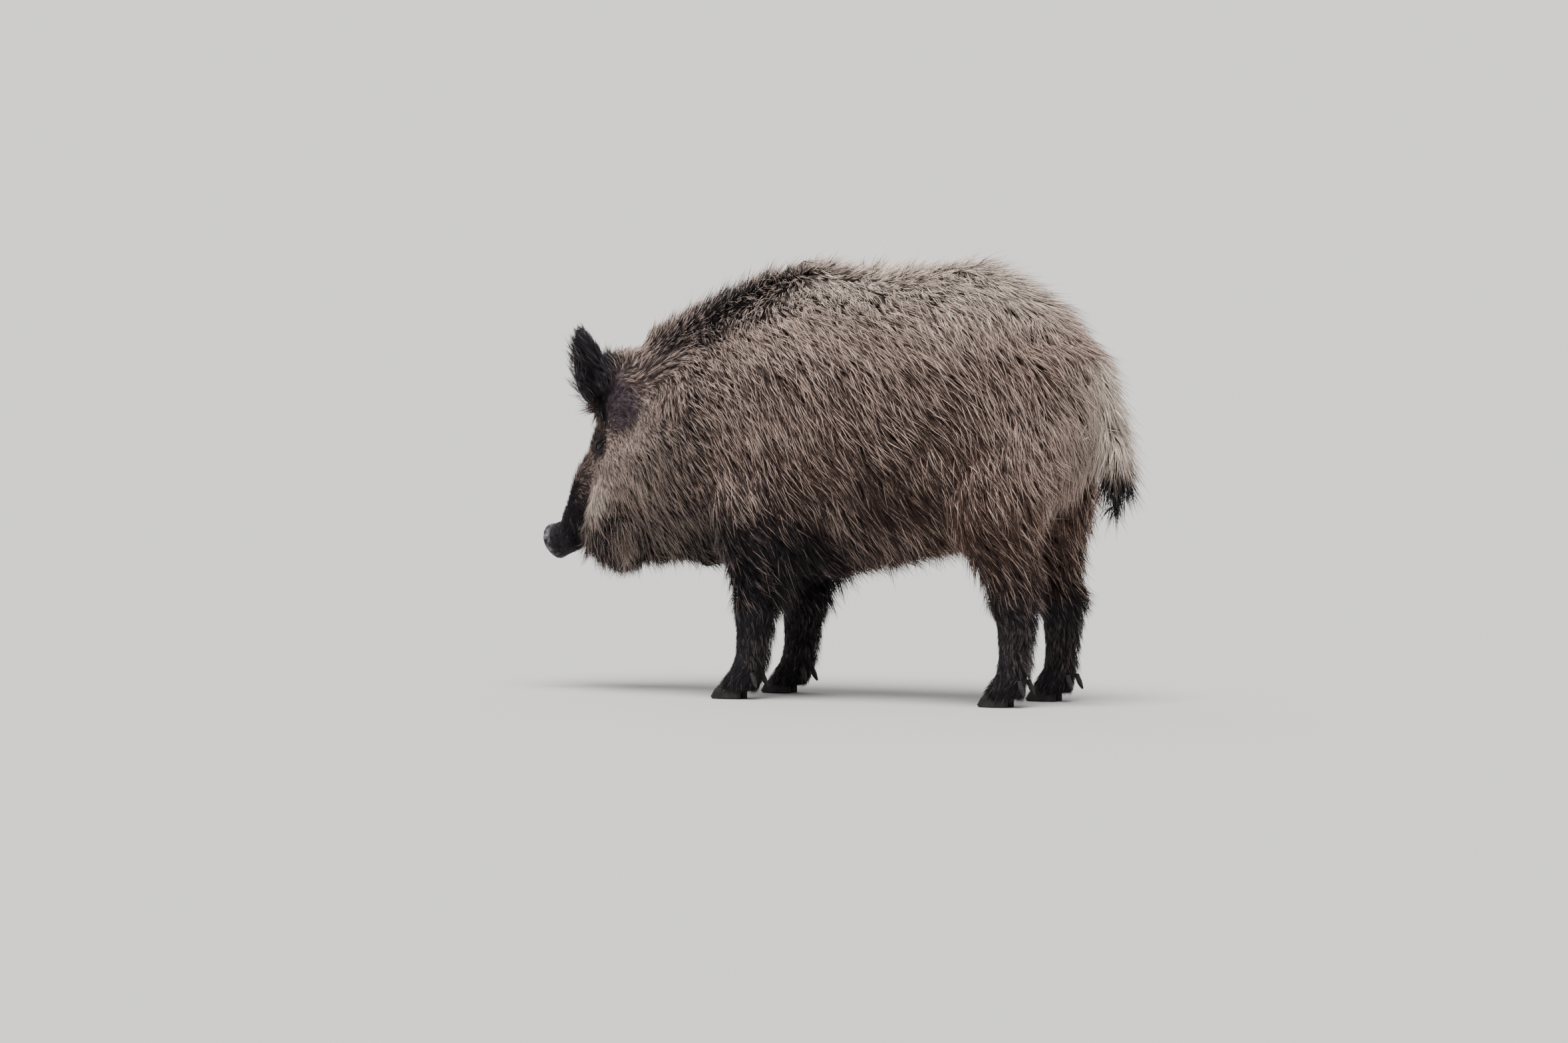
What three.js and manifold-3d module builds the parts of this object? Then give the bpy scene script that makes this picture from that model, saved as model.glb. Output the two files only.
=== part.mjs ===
// A young wild boar in its winter coat, standing still with its head lowered.
// Millimetres, +Z up. The boar faces -Y, its left side is +X, and its claws stand on Z = 0.
// Every outline is that of the coat's tips; thin straight cuts part the body into named pieces.
import * as THREE from 'three';
import { mergeVertices } from 'three/addons/utils/BufferGeometryUtils.js';
import Module from 'manifold-3d';

const wasm = await Module();
wasm.setup();

// ---------- driving dimensions ----------
const CUT_GAP = 0.3; // clear space between neighbouring pieces
const RING_POINTS = 20; // points round the trunk and the head
const LIMB_POINTS = 12; // points round a leg and the tail
const CLAW_POINTS = 10;

// Trunk and neck, from the buttocks forward: y, back height, belly height, half width,
// how far the back narrows to a ridge, how far the belly narrows to a keel.
const TRUNK = [
  [486, 585, 480, 40, 0.1, 0.1], // under the tail root
  [468, 632, 420, 86, 0.15, 0.1], // buttocks
  [425, 694, 350, 120, 0.2, 0.15], // haunches
  [335, 751, 292, 144, 0.22, 0.2], // hips
  [240, 783, 264, 155, 0.25, 0.25], // loins
  [130, 771, 238, 164, 0.27, 0.3], // flanks
  [40, 770, 218, 168, 0.3, 0.34], // barrel
  [-30, 781, 212, 168, 0.34, 0.36], // withers, the highest of the mane
  [-125, 770, 214, 163, 0.38, 0.36], // shoulders
  [-220, 719, 222, 148, 0.38, 0.34], // root of the neck
  [-330, 668, 226, 128, 0.32, 0.34], // neck
  [-395, 634, 226, 100, 0.22, 0.36], // nape and throat
  [-430, 560, 228, 86, 0.2, 0.36], // throat, under the jaw
  [-465, 430, 240, 64, 0.2, 0.3],
  [-490, 345, 258, 32, 0.2, 0.3], // behind the chin
];
const TRUNK_RINGS = 19;
const TRUNK_SQUARENESS = 2.25; // exponent of the section; 2 is an ellipse

// The head has its own line: s runs from the crown to the snout, d towards the forehead,
// w to the left. Eyes lie on d = 0.
const HEAD_PLACE = [0, -365, 546]; // s = d = w = 0
const HEAD_DROP = THREE.MathUtils.degToRad(49); // nose below the horizontal
const HEAD_TURN = THREE.MathUtils.degToRad(8); // nose turned to the boar's right
const HEAD = [
  // s, forehead side d, jaw side d, half width, ridge, keel, tilt back of the section (degrees)
  [-50, 60, -70, 66, 0.1, 0.1, 0], // hidden inside the neck
  [-8, 102, -112, 96, 0.2, 0.1, 0], // crown
  [35, 94, -138, 104, 0.24, 0.12, 0], // behind the jaw
  [80, 74, -143, 96, 0.28, 0.16, 0], // cheeks
  [125, 50, -130, 77, 0.24, 0.1, 0], // eyes
  [168, 34, -112, 61, 0.2, 0.12, 0],
  [215, 20, -94, 49, 0.2, 0.15, 2], // middle of the nose
  [265, 9, -80, 41, 0.15, 0.2, 8],
  [318, -4, -62, 32, 0.05, 0.1, 26], // nose behind the disc
];
const HEAD_RINGS = 13;
const HEAD_SQUARENESS = 2.2;

const SNOUT_CENTRE = [338, -33]; // s and d of the middle of the snout
const SNOUT_TILT = THREE.MathUtils.degToRad(30); // disc raised from square to the head's line
const SNOUT_HEIGHT = 65;
const SNOUT_WIDTH = 72;
const SNOUT_LENGTH = 52;
const SNOUT_RIM = 7; // thickness of the disc's rolled rim
const NOSTRIL_WIDTH = 13;
const NOSTRIL_HEIGHT = 17;
const NOSTRIL_DEPTH = 16;
const NOSTRIL_SPREAD = 15; // from the midline

const JAW_TIP = [306, -70]; // s and d of the chin's end
const JAW_HALF_WIDTH = 29;
const JAW_DEPTH = 34;
const JAW_LENGTH = 150;

const MOUTH_LEVEL = -75; // d of the mouth line
const JAW_LEVEL = -130; // d of the cut between the cheeks and the throat

const EYE_PLACE = [136, -8, 48]; // s, d, w of the eyeball's middle
const EYE_RADIUS = 13;
const SOCKET_RADIUS = 18; // shallow bowl in the coat round each eye
const SOCKET_OUT = 21; // how far out of the head the bowl's middle lies

const EAR_ROOT = [60, 26, 68]; // s, d, w of the middle of the root
const EAR_LENGTH = 136;
const EAR_WALL = 7; // ear and its short hair
const EAR_RINGS = 8;
const EAR_ARC_POINTS = 8;
const EAR_SINK = 26; // length of the ear's foot inside the head
const EAR_CUT = 22; // the cut at the ear's root, beyond its middle
const EAR_BOX = 84; // across the ear
// The left ear stands up, the right one is swung out and back.
const EAR_LEAN = { left: [-0.4, 0.88, 0.25], right: [-0.6, 0.5, 0.62] };
const EAR_OPENING = { left: [0.25, 0.1, 0.96], right: [0.4, -0.1, 0.9] };
// Along the ear from root to tip: half width of the leaf laid flat, half angle of its roll.
const EAR_LEAF = [
  [62, 2.7],
  [64, 2.25],
  [63, 1.7],
  [57, 1.3],
  [46, 1.05],
  [30, 0.8],
  [9, 0.5],
];

// Legs, from inside the trunk down to the top of the claws:
// z, y, x, half length along the body, half width.
const FORELEG = [
  [430, -118, 92, 88, 52],
  [345, -126, 106, 92, 58], // shoulder
  [285, -124, 107, 82, 52],
  [238, -122, 101, 66, 44], // elbow
  [190, -130, 95, 49, 37],
  [145, -132, 91, 38, 32], // knee
  [95, -137, 89, 31, 28],
  [60, -144, 88, 31, 28], // fetlock
  [34, -157, 88, 36, 30], // pastern
  [14, -168, 88, 38, 27],
];
const HIND_LEG = [
  [520, 372, 78, 84, 52],
  [430, 352, 98, 104, 64], // thigh
  [345, 338, 108, 96, 64],
  [275, 340, 104, 72, 50], // stifle
  [215, 358, 97, 55, 39], // hock
  [165, 367, 92, 41, 33],
  [115, 366, 90, 32, 28],
  [64, 362, 89, 29, 27], // fetlock
  [36, 351, 89, 35, 30], // pastern
  [14, 342, 89, 38, 27],
];
const LEG_RINGS = 11;
const RIGHT_STAGGER = 15; // the right feet stand this much further back
const FORE_TOE = -216; // y of the left claws' tips
const HIND_TOE = 296;
const FOOT_SPREAD = 88; // x of a foot's middle

// Claws: two broad ones bear the weight and two small ones hang behind each foot.
const CLAW_LENGTH = 62;
const CLAW_WIDTH = 23;
const CLAW_HEIGHT = 31;
const CLAW_SLOPE = 26; // how far the toe wall leans back at the top
const CLAW_SPACING = 35; // between the two tips; the heels stand closer
const CLAW_SPLAY = THREE.MathUtils.degToRad(4);
const DEWCLAW_LENGTH = 28;
const DEWCLAW_RADIUS = 8;
const DEWCLAW_HEIGHT = 46; // of its root above the floor
const DEWCLAW_SPREAD = 20; // from the foot's middle
const DEWCLAW_BEHIND = 84; // from the claw tips to the dewclaw's root

// Tail: y, z, half width, half thickness.
const TAIL = [
  [448, 612, 20, 18],
  [476, 596, 22, 19],
  [496, 545, 22, 19],
  [510, 480, 25, 22],
  [519, 415, 25, 24],
  [519, 370, 17, 17],
  [515, 344, 4, 4],
];
const TAIL_RINGS = 9;

// Where the cuts lie. On the head they are places on its line, on the trunk values of y.
const HEAD_CUT = -6;
const MUZZLE_CUT = 190;
const JAW_CUT = 185;
const SNOUT_CUT = 27; // behind the middle of the snout
const NECK_CUT = -232;
const CHEST_CUT = 10;
const BELLY_CUT = 210;
const TAIL_CUT = 480;
const TAIL_CUT_LEAN = THREE.MathUtils.degToRad(6);
const TAIL_TIP_LEVEL = 374; // z
// Each leg is cut from the trunk by a plane that climbs outwards, then across two joints.
const LEG_CUTS = {
  fore: { from: -222, to: -28, joints: [172, 62], names: ['shoulder', 'forearm', 'foot'] },
  hind: { from: 238, to: 520, joints: [196, 62], names: ['thigh', 'shank', 'foot'] },
};
const LEG_CUT_CLIMB = THREE.MathUtils.degToRad(48);
const LEG_CUT_START = [12, 252]; // x and z where the sloping cut leaves the midline
const LEG_CUT_INSIDE = 2; // x of the cut between a leg's pieces and the midline

// Colours of the pieces under the coat's shadows.
const COLOURS = {
  mane: 0x3b332b,
  grizzle: 0x6f6353,
  cheek: 0x7d7364,
  flank: 0x6a5743,
  leg: 0x2f2926,
  ear: 0x4a4042,
  snout: 0x4c4a4d,
  eye: 0x0f0b0a,
  claw: 0x4f4546,
  tail: 0xa89a80,
  tail_tip: 0x322c29,
};

// ---------- solids ----------
const clampIndex = (i, rows) => Math.min(Math.max(i, 0), rows.length - 1);

// Smooth values between the rows of a table; t counts rows.
function between(rows, t) {
  const i = Math.min(Math.floor(t), rows.length - 2);
  const f = t - i;
  const [before, start, end, after] = [i - 1, i, i + 1, i + 2].map((k) => rows[clampIndex(k, rows)]);
  return start.map((value, k) => {
    const slope = (end[k] - before[k]) / 2;
    const nextSlope = (after[k] - value) / 2;
    const rise = end[k] - value;
    return value + f * (slope + f * (3 * rise - 2 * slope - nextSlope + f * (slope + nextSlope - 2 * rise)));
  });
}

const rowsOf = (rows, count) =>
  Array.from({ length: count }, (_, i) => between(rows, (i * (rows.length - 1)) / (count - 1)));

// One closed section: a superellipse that can narrow to a ridge above and a keel below.
function section({ centre, side, up, half, top, low, ridge = 0, keel = 0, power = 2, points }) {
  return Array.from({ length: points }, (_, i) => {
    const angle = (2 * Math.PI * i) / points;
    const across = Math.sign(Math.cos(angle)) * Math.abs(Math.cos(angle)) ** (2 / power);
    const rise = Math.sign(Math.sin(angle)) * Math.abs(Math.sin(angle)) ** (2 / power);
    const narrow = 1 - (rise > 0 ? ridge : keel) * rise * rise;
    return centre
      .clone()
      .addScaledVector(side, across * half * narrow)
      .addScaledVector(up, rise * (rise > 0 ? top : low));
  });
}

// A closed solid through sections with equal numbers of points, wound outwards.
function loft(sections) {
  const points = sections[0].length;
  const positions = sections.flat().flatMap((p) => p.toArray());
  const ends = [sections[0], sections[sections.length - 1]];
  for (const ring of ends) {
    const middle = ring.reduce((sum, p) => sum.add(p), new THREE.Vector3()).divideScalar(points);
    positions.push(...middle.toArray());
  }
  const firstMiddle = sections.length * points;
  const index = [];
  for (let r = 0; r + 1 < sections.length; r += 1) {
    for (let i = 0; i < points; i += 1) {
      const a = r * points + i;
      const b = r * points + ((i + 1) % points);
      index.push(a, b, a + points, b, b + points, a + points);
    }
  }
  for (let i = 0; i < points; i += 1) {
    const last = (sections.length - 1) * points;
    index.push(firstMiddle, (i + 1) % points, i);
    index.push(firstMiddle + 1, last + i, last + ((i + 1) % points));
  }
  const geometry = new THREE.BufferGeometry();
  geometry.setAttribute('position', new THREE.Float32BufferAttribute(positions, 3));
  geometry.setIndex(index);
  return solidOf(geometry);
}

// A manifold of a closed geometry, turned right side out where a mirrored loft is inside out.
function solidOf(geometry) {
  const bare = geometry.clone();
  bare.deleteAttribute('normal');
  bare.deleteAttribute('uv');
  const merged = mergeVertices(bare, 1e-4);
  const index = Uint32Array.from(merged.index.array);
  const place = merged.attributes.position;
  const corners = [new THREE.Vector3(), new THREE.Vector3(), new THREE.Vector3()];
  let volume = 0;
  for (let i = 0; i < index.length; i += 3) {
    corners.forEach((corner, k) => corner.fromBufferAttribute(place, index[i + k]));
    volume += corners[0].dot(corners[1].cross(corners[2]));
  }
  if (volume < 0) {
    for (let i = 0; i < index.length; i += 3) {
      [index[i + 1], index[i + 2]] = [index[i + 2], index[i + 1]];
    }
  }
  const mesh = new wasm.Mesh({ numProp: 3, vertProperties: place.array, triVerts: index });
  return new wasm.Manifold(mesh);
}

function geometryOf(solid) {
  const { vertProperties, triVerts } = solid.getMesh();
  const geometry = new THREE.BufferGeometry();
  geometry.setAttribute('position', new THREE.BufferAttribute(Float32Array.from(vertProperties), 3));
  geometry.setIndex(new THREE.BufferAttribute(Uint32Array.from(triVerts), 1));
  geometry.computeVertexNormals();
  return geometry;
}

// The space common to some boxes, each placed by its middle, its size and its frame of directions.
function region(boxes, grow = 0) {
  const solids = boxes.map(({ middle, size, frame = new THREE.Matrix4() }) => {
    const geometry = new THREE.BoxGeometry(...size.map((side) => side + 2 * grow));
    geometry.applyMatrix4(frame.clone().setPosition(new THREE.Vector3(...middle)));
    return solidOf(geometry);
  });
  return solids.reduce((common, solid) => common.intersect(solid));
}

// ---------- the head's own frame ----------
const headTurn = new THREE.Matrix4().makeRotationZ(-HEAD_TURN);
const headLine = new THREE.Vector3(0, -Math.cos(HEAD_DROP), -Math.sin(HEAD_DROP)).applyMatrix4(headTurn);
const headUp = new THREE.Vector3(0, -Math.sin(HEAD_DROP), Math.cos(HEAD_DROP)).applyMatrix4(headTurn);
const headLeft = new THREE.Vector3(1, 0, 0).applyMatrix4(headTurn);

const headWay = (s, d, w) =>
  new THREE.Vector3()
    .addScaledVector(headLine, s)
    .addScaledVector(headUp, d)
    .addScaledVector(headLeft, w);
const onHead = (s, d, w = 0) => headWay(s, d, w).add(new THREE.Vector3(...HEAD_PLACE));

// A frame for boxes on the head: x to the left, y along the head's line, z to the forehead,
// leaned back by an angle.
function headFrame(lean = 0) {
  const line = headWay(Math.cos(lean), Math.sin(lean), 0);
  const up = headWay(-Math.sin(lean), Math.cos(lean), 0);
  return new THREE.Matrix4().makeBasis(headLeft.clone().negate(), line, up);
}

// ---------- flesh ----------
function makeTrunk() {
  const rings = rowsOf(TRUNK, TRUNK_RINGS).map(([y, back, belly, half, ridge, keel]) =>
    section({
      centre: new THREE.Vector3(0, y, (back + belly) / 2),
      side: new THREE.Vector3(1, 0, 0),
      up: new THREE.Vector3(0, 0, 1),
      half,
      top: (back - belly) / 2,
      low: (back - belly) / 2,
      ridge,
      keel,
      power: TRUNK_SQUARENESS,
      points: RING_POINTS,
    }),
  );
  return loft(rings);
}

function makeSkull() {
  const rings = rowsOf(HEAD, HEAD_RINGS).map(([s, top, low, half, ridge, keel, tilt]) => {
    const lean = THREE.MathUtils.degToRad(tilt);
    const middle = (top + low) / 2;
    return section({
      centre: onHead(s, middle),
      side: headLeft,
      up: headWay(-Math.sin(lean), Math.cos(lean), 0),
      half,
      top: top - middle,
      low: middle - low,
      ridge,
      keel,
      power: HEAD_SQUARENESS,
      points: RING_POINTS,
    });
  });
  return loft(rings);
}

function makeSnout() {
  const [s, d] = SNOUT_CENTRE;
  const axis = headWay(Math.cos(SNOUT_TILT), Math.sin(SNOUT_TILT), 0);
  const up = headWay(-Math.sin(SNOUT_TILT), Math.cos(SNOUT_TILT), 0);
  const disc = (along, scale) =>
    section({
      centre: onHead(s, d).addScaledVector(axis, along),
      side: headLeft,
      up,
      half: (SNOUT_WIDTH / 2) * scale,
      top: (SNOUT_HEIGHT / 2) * scale,
      low: (SNOUT_HEIGHT / 2) * scale,
      ridge: 0.12,
      keel: 0.2,
      points: RING_POINTS,
    });
  const front = SNOUT_LENGTH / 2;
  const solid = loft([
    disc(-front, 0.9),
    disc(0, 0.9),
    disc(front - 2 * SNOUT_RIM, 0.92),
    disc(front - SNOUT_RIM, 1),
    disc(front - SNOUT_RIM / 3, 0.99),
    disc(front, 0.88),
  ]);
  const pits = [-1, 1].map((way) => {
    const pit = (along, scale) =>
      section({
        centre: onHead(s, d)
          .addScaledVector(axis, along)
          .addScaledVector(headLeft, way * (NOSTRIL_SPREAD + (front - along) * 0.1))
          .addScaledVector(up, 2),
        side: headLeft,
        up,
        half: (NOSTRIL_WIDTH / 2) * scale,
        top: (NOSTRIL_HEIGHT / 2) * scale,
        low: (NOSTRIL_HEIGHT / 2) * scale,
        points: 12,
      });
    return loft([pit(front - NOSTRIL_DEPTH, 0.5), pit(front + 2, 1)]);
  });
  return { solid, pits };
}

function makeJaw() {
  const [tipS, tipD] = JAW_TIP;
  const rings = [0, 0.08, 0.35, 0.7, 1].map((t) => {
    const grow = Math.sqrt(1 - (1 - Math.min(t / 0.35 + 0.18, 1)) ** 2);
    return section({
      centre: onHead(tipS - t * JAW_LENGTH, tipD - 4 * t),
      side: headLeft,
      up: headUp,
      half: JAW_HALF_WIDTH * grow * (1 + 0.5 * t),
      top: (JAW_DEPTH / 2) * grow,
      low: (JAW_DEPTH / 2) * grow * (1 + 0.5 * t),
      points: RING_POINTS,
    });
  });
  return loft(rings);
}

// The ear's own directions: along it to the tip, out of its opening, and across it.
function earAxes(side) {
  const way = side === 'left' ? 1 : -1;
  const [leanS, leanD, leanW] = EAR_LEAN[side];
  const [openS, openD, openW] = EAR_OPENING[side];
  const along = headWay(leanS, leanD, way * leanW).normalize();
  const opening = headWay(openS, openD, way * openW);
  opening.addScaledVector(along, -opening.dot(along)).normalize();
  const across = new THREE.Vector3().crossVectors(along, opening);
  return { along, opening, across };
}

// An ear is a leaf rolled round its length: nearly a tube at the root, almost flat at the tip.
function makeEar(side) {
  const way = side === 'left' ? 1 : -1;
  const { along, opening, across } = earAxes(side);
  const [rootS, rootD, rootW] = EAR_ROOT;
  const [, rootRoll] = EAR_LEAF[0];
  const rootRadius = EAR_LEAF[0][0] / rootRoll;
  const back = onHead(rootS, rootD, way * rootW)
    .addScaledVector(along, -EAR_SINK)
    .addScaledVector(opening, -rootRadius);
  const length = EAR_LENGTH + EAR_SINK;
  const rings = rowsOf(EAR_LEAF, EAR_RINGS).map(([halfLeaf, roll], r) => {
    const t = r / (EAR_RINGS - 1);
    const radius = halfLeaf / roll;
    const inner = radius - EAR_WALL * (1 - 0.6 * t);
    const centre = back.clone().addScaledVector(along, t * length).addScaledVector(opening, radius);
    const arc = (distance, from, to) =>
      Array.from({ length: EAR_ARC_POINTS }, (_, i) => {
        const angle = THREE.MathUtils.lerp(from, to, i / (EAR_ARC_POINTS - 1));
        return centre
          .clone()
          .addScaledVector(across, Math.sin(angle) * distance)
          .addScaledVector(opening, -Math.cos(angle) * distance);
      });
    return [...arc(radius, -roll, roll), ...arc(Math.max(inner, radius * 0.4), roll, -roll)];
  });
  return loft(rings);
}

function makeLeg(rows, way, back) {
  const rings = rowsOf(rows, LEG_RINGS).map(([z, y, x, halfLength, halfWidth], i) => {
    const low = i / (LEG_RINGS - 1);
    return section({
      centre: new THREE.Vector3(way * x, y + back * low, z),
      side: new THREE.Vector3(way, 0, 0),
      up: new THREE.Vector3(0, 1, 0),
      half: halfWidth,
      top: halfLength,
      low: halfLength,
      points: LIMB_POINTS,
    });
  });
  return loft(rings);
}

function makeTail() {
  const rows = rowsOf(TAIL, TAIL_RINGS);
  const rings = rows.map(([y, z, half, thick], i) => {
    const [y0, z0] = rows[Math.max(i - 1, 0)];
    const [y1, z1] = rows[Math.min(i + 1, rows.length - 1)];
    const along = new THREE.Vector3(0, y1 - y0, z1 - z0).normalize();
    const side = new THREE.Vector3(1, 0, 0);
    return section({
      centre: new THREE.Vector3(0, y, z),
      side,
      up: side.clone().cross(along),
      half,
      top: thick,
      low: thick,
      points: LIMB_POINTS,
    });
  });
  return loft(rings);
}

// ---------- claws ----------
// A claw stands on a flat sole, pointed in front; the wall leans back to the hair line.
function makeClaw(x, tip, turn, grow = 0) {
  const rotate = new THREE.Matrix4().makeRotationZ(turn);
  const floor = new THREE.Vector3(x, tip, 0);
  const ring = (z, share) => {
    const lean = CLAW_SLOPE * share;
    const length = CLAW_LENGTH - lean + 2 * grow;
    return Array.from({ length: CLAW_POINTS }, (_, i) => {
      const angle = (2 * Math.PI * i) / CLAW_POINTS;
      const forward = (1 - Math.cos(angle)) / 2; // 0 at the tip, 1 at the heel
      const width = (CLAW_WIDTH / 2 + grow) * (1 - 0.16 * share);
      const across = Math.sin(angle) * width * (0.72 + 0.36 * forward);
      return new THREE.Vector3(across, lean - grow + forward * length, z).applyMatrix4(rotate).add(floor);
    });
  };
  const top = CLAW_HEIGHT + grow;
  return loft([ring(grow ? -1 : 0, 0), ring(top * 0.5, 0.4), ring(top, 1)]);
}

function makeDewclaw(x, y, outward, grow = 0) {
  const along = new THREE.Vector3(outward * 0.12, 0.45, -0.88).normalize();
  const side = new THREE.Vector3(1, 0, 0);
  const up = side.clone().cross(along).normalize();
  const root = new THREE.Vector3(x, y, DEWCLAW_HEIGHT);
  const rings = [0, 0.5, 1].map((t) => {
    const radius = DEWCLAW_RADIUS * (1 - 0.7 * t ** 2.5) + grow;
    return section({
      centre: root.clone().addScaledVector(along, t * DEWCLAW_LENGTH + (t ? grow : -grow)),
      side,
      up,
      half: radius,
      top: radius * 0.8,
      low: radius * 0.8,
      points: 7,
    });
  });
  return loft(rings);
}

const LEGS = [
  { name: 'foreleg_left', rows: FORELEG, way: 1, back: 0, toe: FORE_TOE },
  { name: 'foreleg_right', rows: FORELEG, way: -1, back: RIGHT_STAGGER, toe: FORE_TOE + RIGHT_STAGGER },
  { name: 'hind_leg_left', rows: HIND_LEG, way: 1, back: 0, toe: HIND_TOE },
  { name: 'hind_leg_right', rows: HIND_LEG, way: -1, back: RIGHT_STAGGER, toe: HIND_TOE + RIGHT_STAGGER },
];

function clawsOf({ name, way, toe }) {
  return [-1, 1].flatMap((side) => {
    const rank = side > 0 ? 'outer' : 'inner';
    const x = way * (FOOT_SPREAD + (side * CLAW_SPACING) / 2);
    const turn = way * side * CLAW_SPLAY;
    const dewX = way * (FOOT_SPREAD + side * DEWCLAW_SPREAD);
    const dewY = toe + DEWCLAW_BEHIND;
    return [
      {
        name: `${name}_claw_${rank}`,
        solid: makeClaw(x, toe, turn),
        grown: makeClaw(x, toe, turn, CUT_GAP),
      },
      {
        name: `${name}_dewclaw_${rank}`,
        solid: makeDewclaw(dewX, dewY, way * side),
        grown: makeDewclaw(dewX, dewY, way * side, CUT_GAP),
      },
    ];
  });
}

// ---------- one body, then its pieces ----------
const group = new THREE.Group();

function addNode(name, solid, colour, roughness = 0.9) {
  const material = new THREE.MeshStandardMaterial({ color: COLOURS[colour], roughness, metalness: 0 });
  const mesh = new THREE.Mesh(geometryOf(solid), material);
  mesh.name = name;
  group.add(mesh);
}

const snout = makeSnout();
const claws = LEGS.flatMap(clawsOf);
let body = makeTrunk().add(makeSkull()).add(snout.solid).add(makeJaw()).add(makeTail());
body = body.add(makeEar('left')).add(makeEar('right'));
for (const { rows, way, back } of LEGS) body = body.add(makeLeg(rows, way, back));
for (const { grown } of claws) body = body.subtract(grown);
for (const pit of snout.pits) body = body.subtract(pit);

function ball(centre, radius) {
  const geometry = new THREE.SphereGeometry(radius, 12, 8);
  geometry.translate(...centre.toArray());
  return solidOf(geometry);
}
for (const way of [-1, 1]) {
  const [s, d, w] = EYE_PLACE;
  const centre = onHead(s, d, way * w);
  body = body.subtract(ball(onHead(s, d, way * (w + SOCKET_OUT)), SOCKET_RADIUS));
  body = body.subtract(ball(centre, EYE_RADIUS + CUT_GAP));
  addNode(`eye_${way > 0 ? 'left' : 'right'}`, ball(centre, EYE_RADIUS), 'eye', 0.15);
}
for (const { name, solid } of claws) addNode(name, solid, 'claw', 0.6);

// Takes what lies in a region out of the body, and leaves the cut gap round it.
function take(name, colour, ...boxes) {
  addNode(name, body.intersect(region(boxes)), colour);
  body = body.subtract(region(boxes, CUT_GAP));
}

const WIDE = 600; // longer than any piece it cuts
for (const side of ['left', 'right']) {
  const { along, opening, across } = earAxes(side);
  const [s, d, w] = EAR_ROOT;
  const middle = onHead(s, d, (side === 'left' ? 1 : -1) * w);
  middle.addScaledVector(along, EAR_CUT + EAR_LENGTH / 2);
  const frame = new THREE.Matrix4().makeBasis(across, opening.clone().negate(), along.clone());
  take(`ear_${side}`, 'ear', { middle, size: [EAR_BOX, EAR_BOX, EAR_LENGTH], frame });
}

// A box on the head that holds all beyond a place s on its line, between two levels of d.
function beyond(s, low, high, lean = 0, d = 0) {
  const along = headWay(Math.cos(lean), Math.sin(lean), 0);
  const up = headWay(-Math.sin(lean), Math.cos(lean), 0);
  const middle = onHead(s, d).addScaledVector(along, WIDE / 2).addScaledVector(up, (low + high) / 2);
  return { middle, size: [WIDE / 2, WIDE, high - low], frame: headFrame(lean) };
}
const OVER = 200; // a level above the whole head
const snoutCut = SNOUT_CENTRE[0] - SNOUT_CUT;
take('snout', 'snout', beyond(snoutCut, -SNOUT_HEIGHT, SNOUT_HEIGHT, SNOUT_TILT, SNOUT_CENTRE[1]));
take('lower_jaw', 'cheek', beyond(JAW_CUT, MOUTH_LEVEL - OVER / 2, MOUTH_LEVEL));
take('muzzle', 'cheek', beyond(MUZZLE_CUT, MOUTH_LEVEL - JAW_DEPTH, OVER));
take('head', 'cheek', beyond(HEAD_CUT, JAW_LEVEL, OVER));

const behindTail = (low, high, frame) => ({
  middle: [0, TAIL_CUT + OVER / 2, (low + high) / 2],
  size: [OVER / 2, OVER, high - low],
  frame,
});
const tailLean = new THREE.Matrix4().makeRotationX(TAIL_CUT_LEAN);
take('tail_tip', 'tail_tip', behindTail(0, TAIL_TIP_LEVEL));
take('tail', 'tail', behindTail(TAIL_TIP_LEVEL - OVER / 2, WIDE + OVER / 2, tailLean));

for (const { name, way } of LEGS) {
  const { from, to, joints, names } = LEG_CUTS[name.startsWith('fore') ? 'fore' : 'hind'];
  const [high, low] = joints;
  const beside = (bottom, top) => ({
    middle: [way * (LEG_CUT_INSIDE + WIDE / 4), (from + to) / 2, (bottom + top) / 2],
    size: [WIDE / 2, to - from, top - bottom],
  });
  take(`${name}_${names[2]}`, 'leg', beside(-CLAW_HEIGHT, low));
  take(`${name}_${names[1]}`, 'leg', beside(low + CUT_GAP, high));
  const slope = new THREE.Matrix4().makeRotationY(-way * LEG_CUT_CLIMB);
  const down = new THREE.Vector3(0, 0, -1).applyMatrix4(slope);
  const start = new THREE.Vector3(way * LEG_CUT_START[0], (from + to) / 2, LEG_CUT_START[1]);
  start.addScaledVector(down, WIDE / 2);
  const under = { middle: start, size: [2 * WIDE, to - from, WIDE], frame: slope };
  take(`${name}_${names[0]}`, 'flank', beside(high + CUT_GAP, WIDE), under);
}

const inFrontOf = (y) => ({ middle: [0, y - WIDE, WIDE / 2], size: [WIDE, 2 * WIDE, 2 * WIDE] });
take('neck', 'grizzle', inFrontOf(NECK_CUT));
take('chest', 'mane', inFrontOf(CHEST_CUT));
take('belly', 'grizzle', inFrontOf(BELLY_CUT));
addNode('rump', body, 'flank');

// The origin is the middle of the box in plan, at the level of the soles.
const box = new THREE.Box3().setFromObject(group);
const centre = box.getCenter(new THREE.Vector3());
group.position.set(-centre.x, -centre.y, -box.min.z);
group.updateMatrixWorld(true);

export default group;
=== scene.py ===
import math

import bmesh
import bpy
import numpy as np
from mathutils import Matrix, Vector
from mathutils.bvhtree import BVHTree


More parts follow.
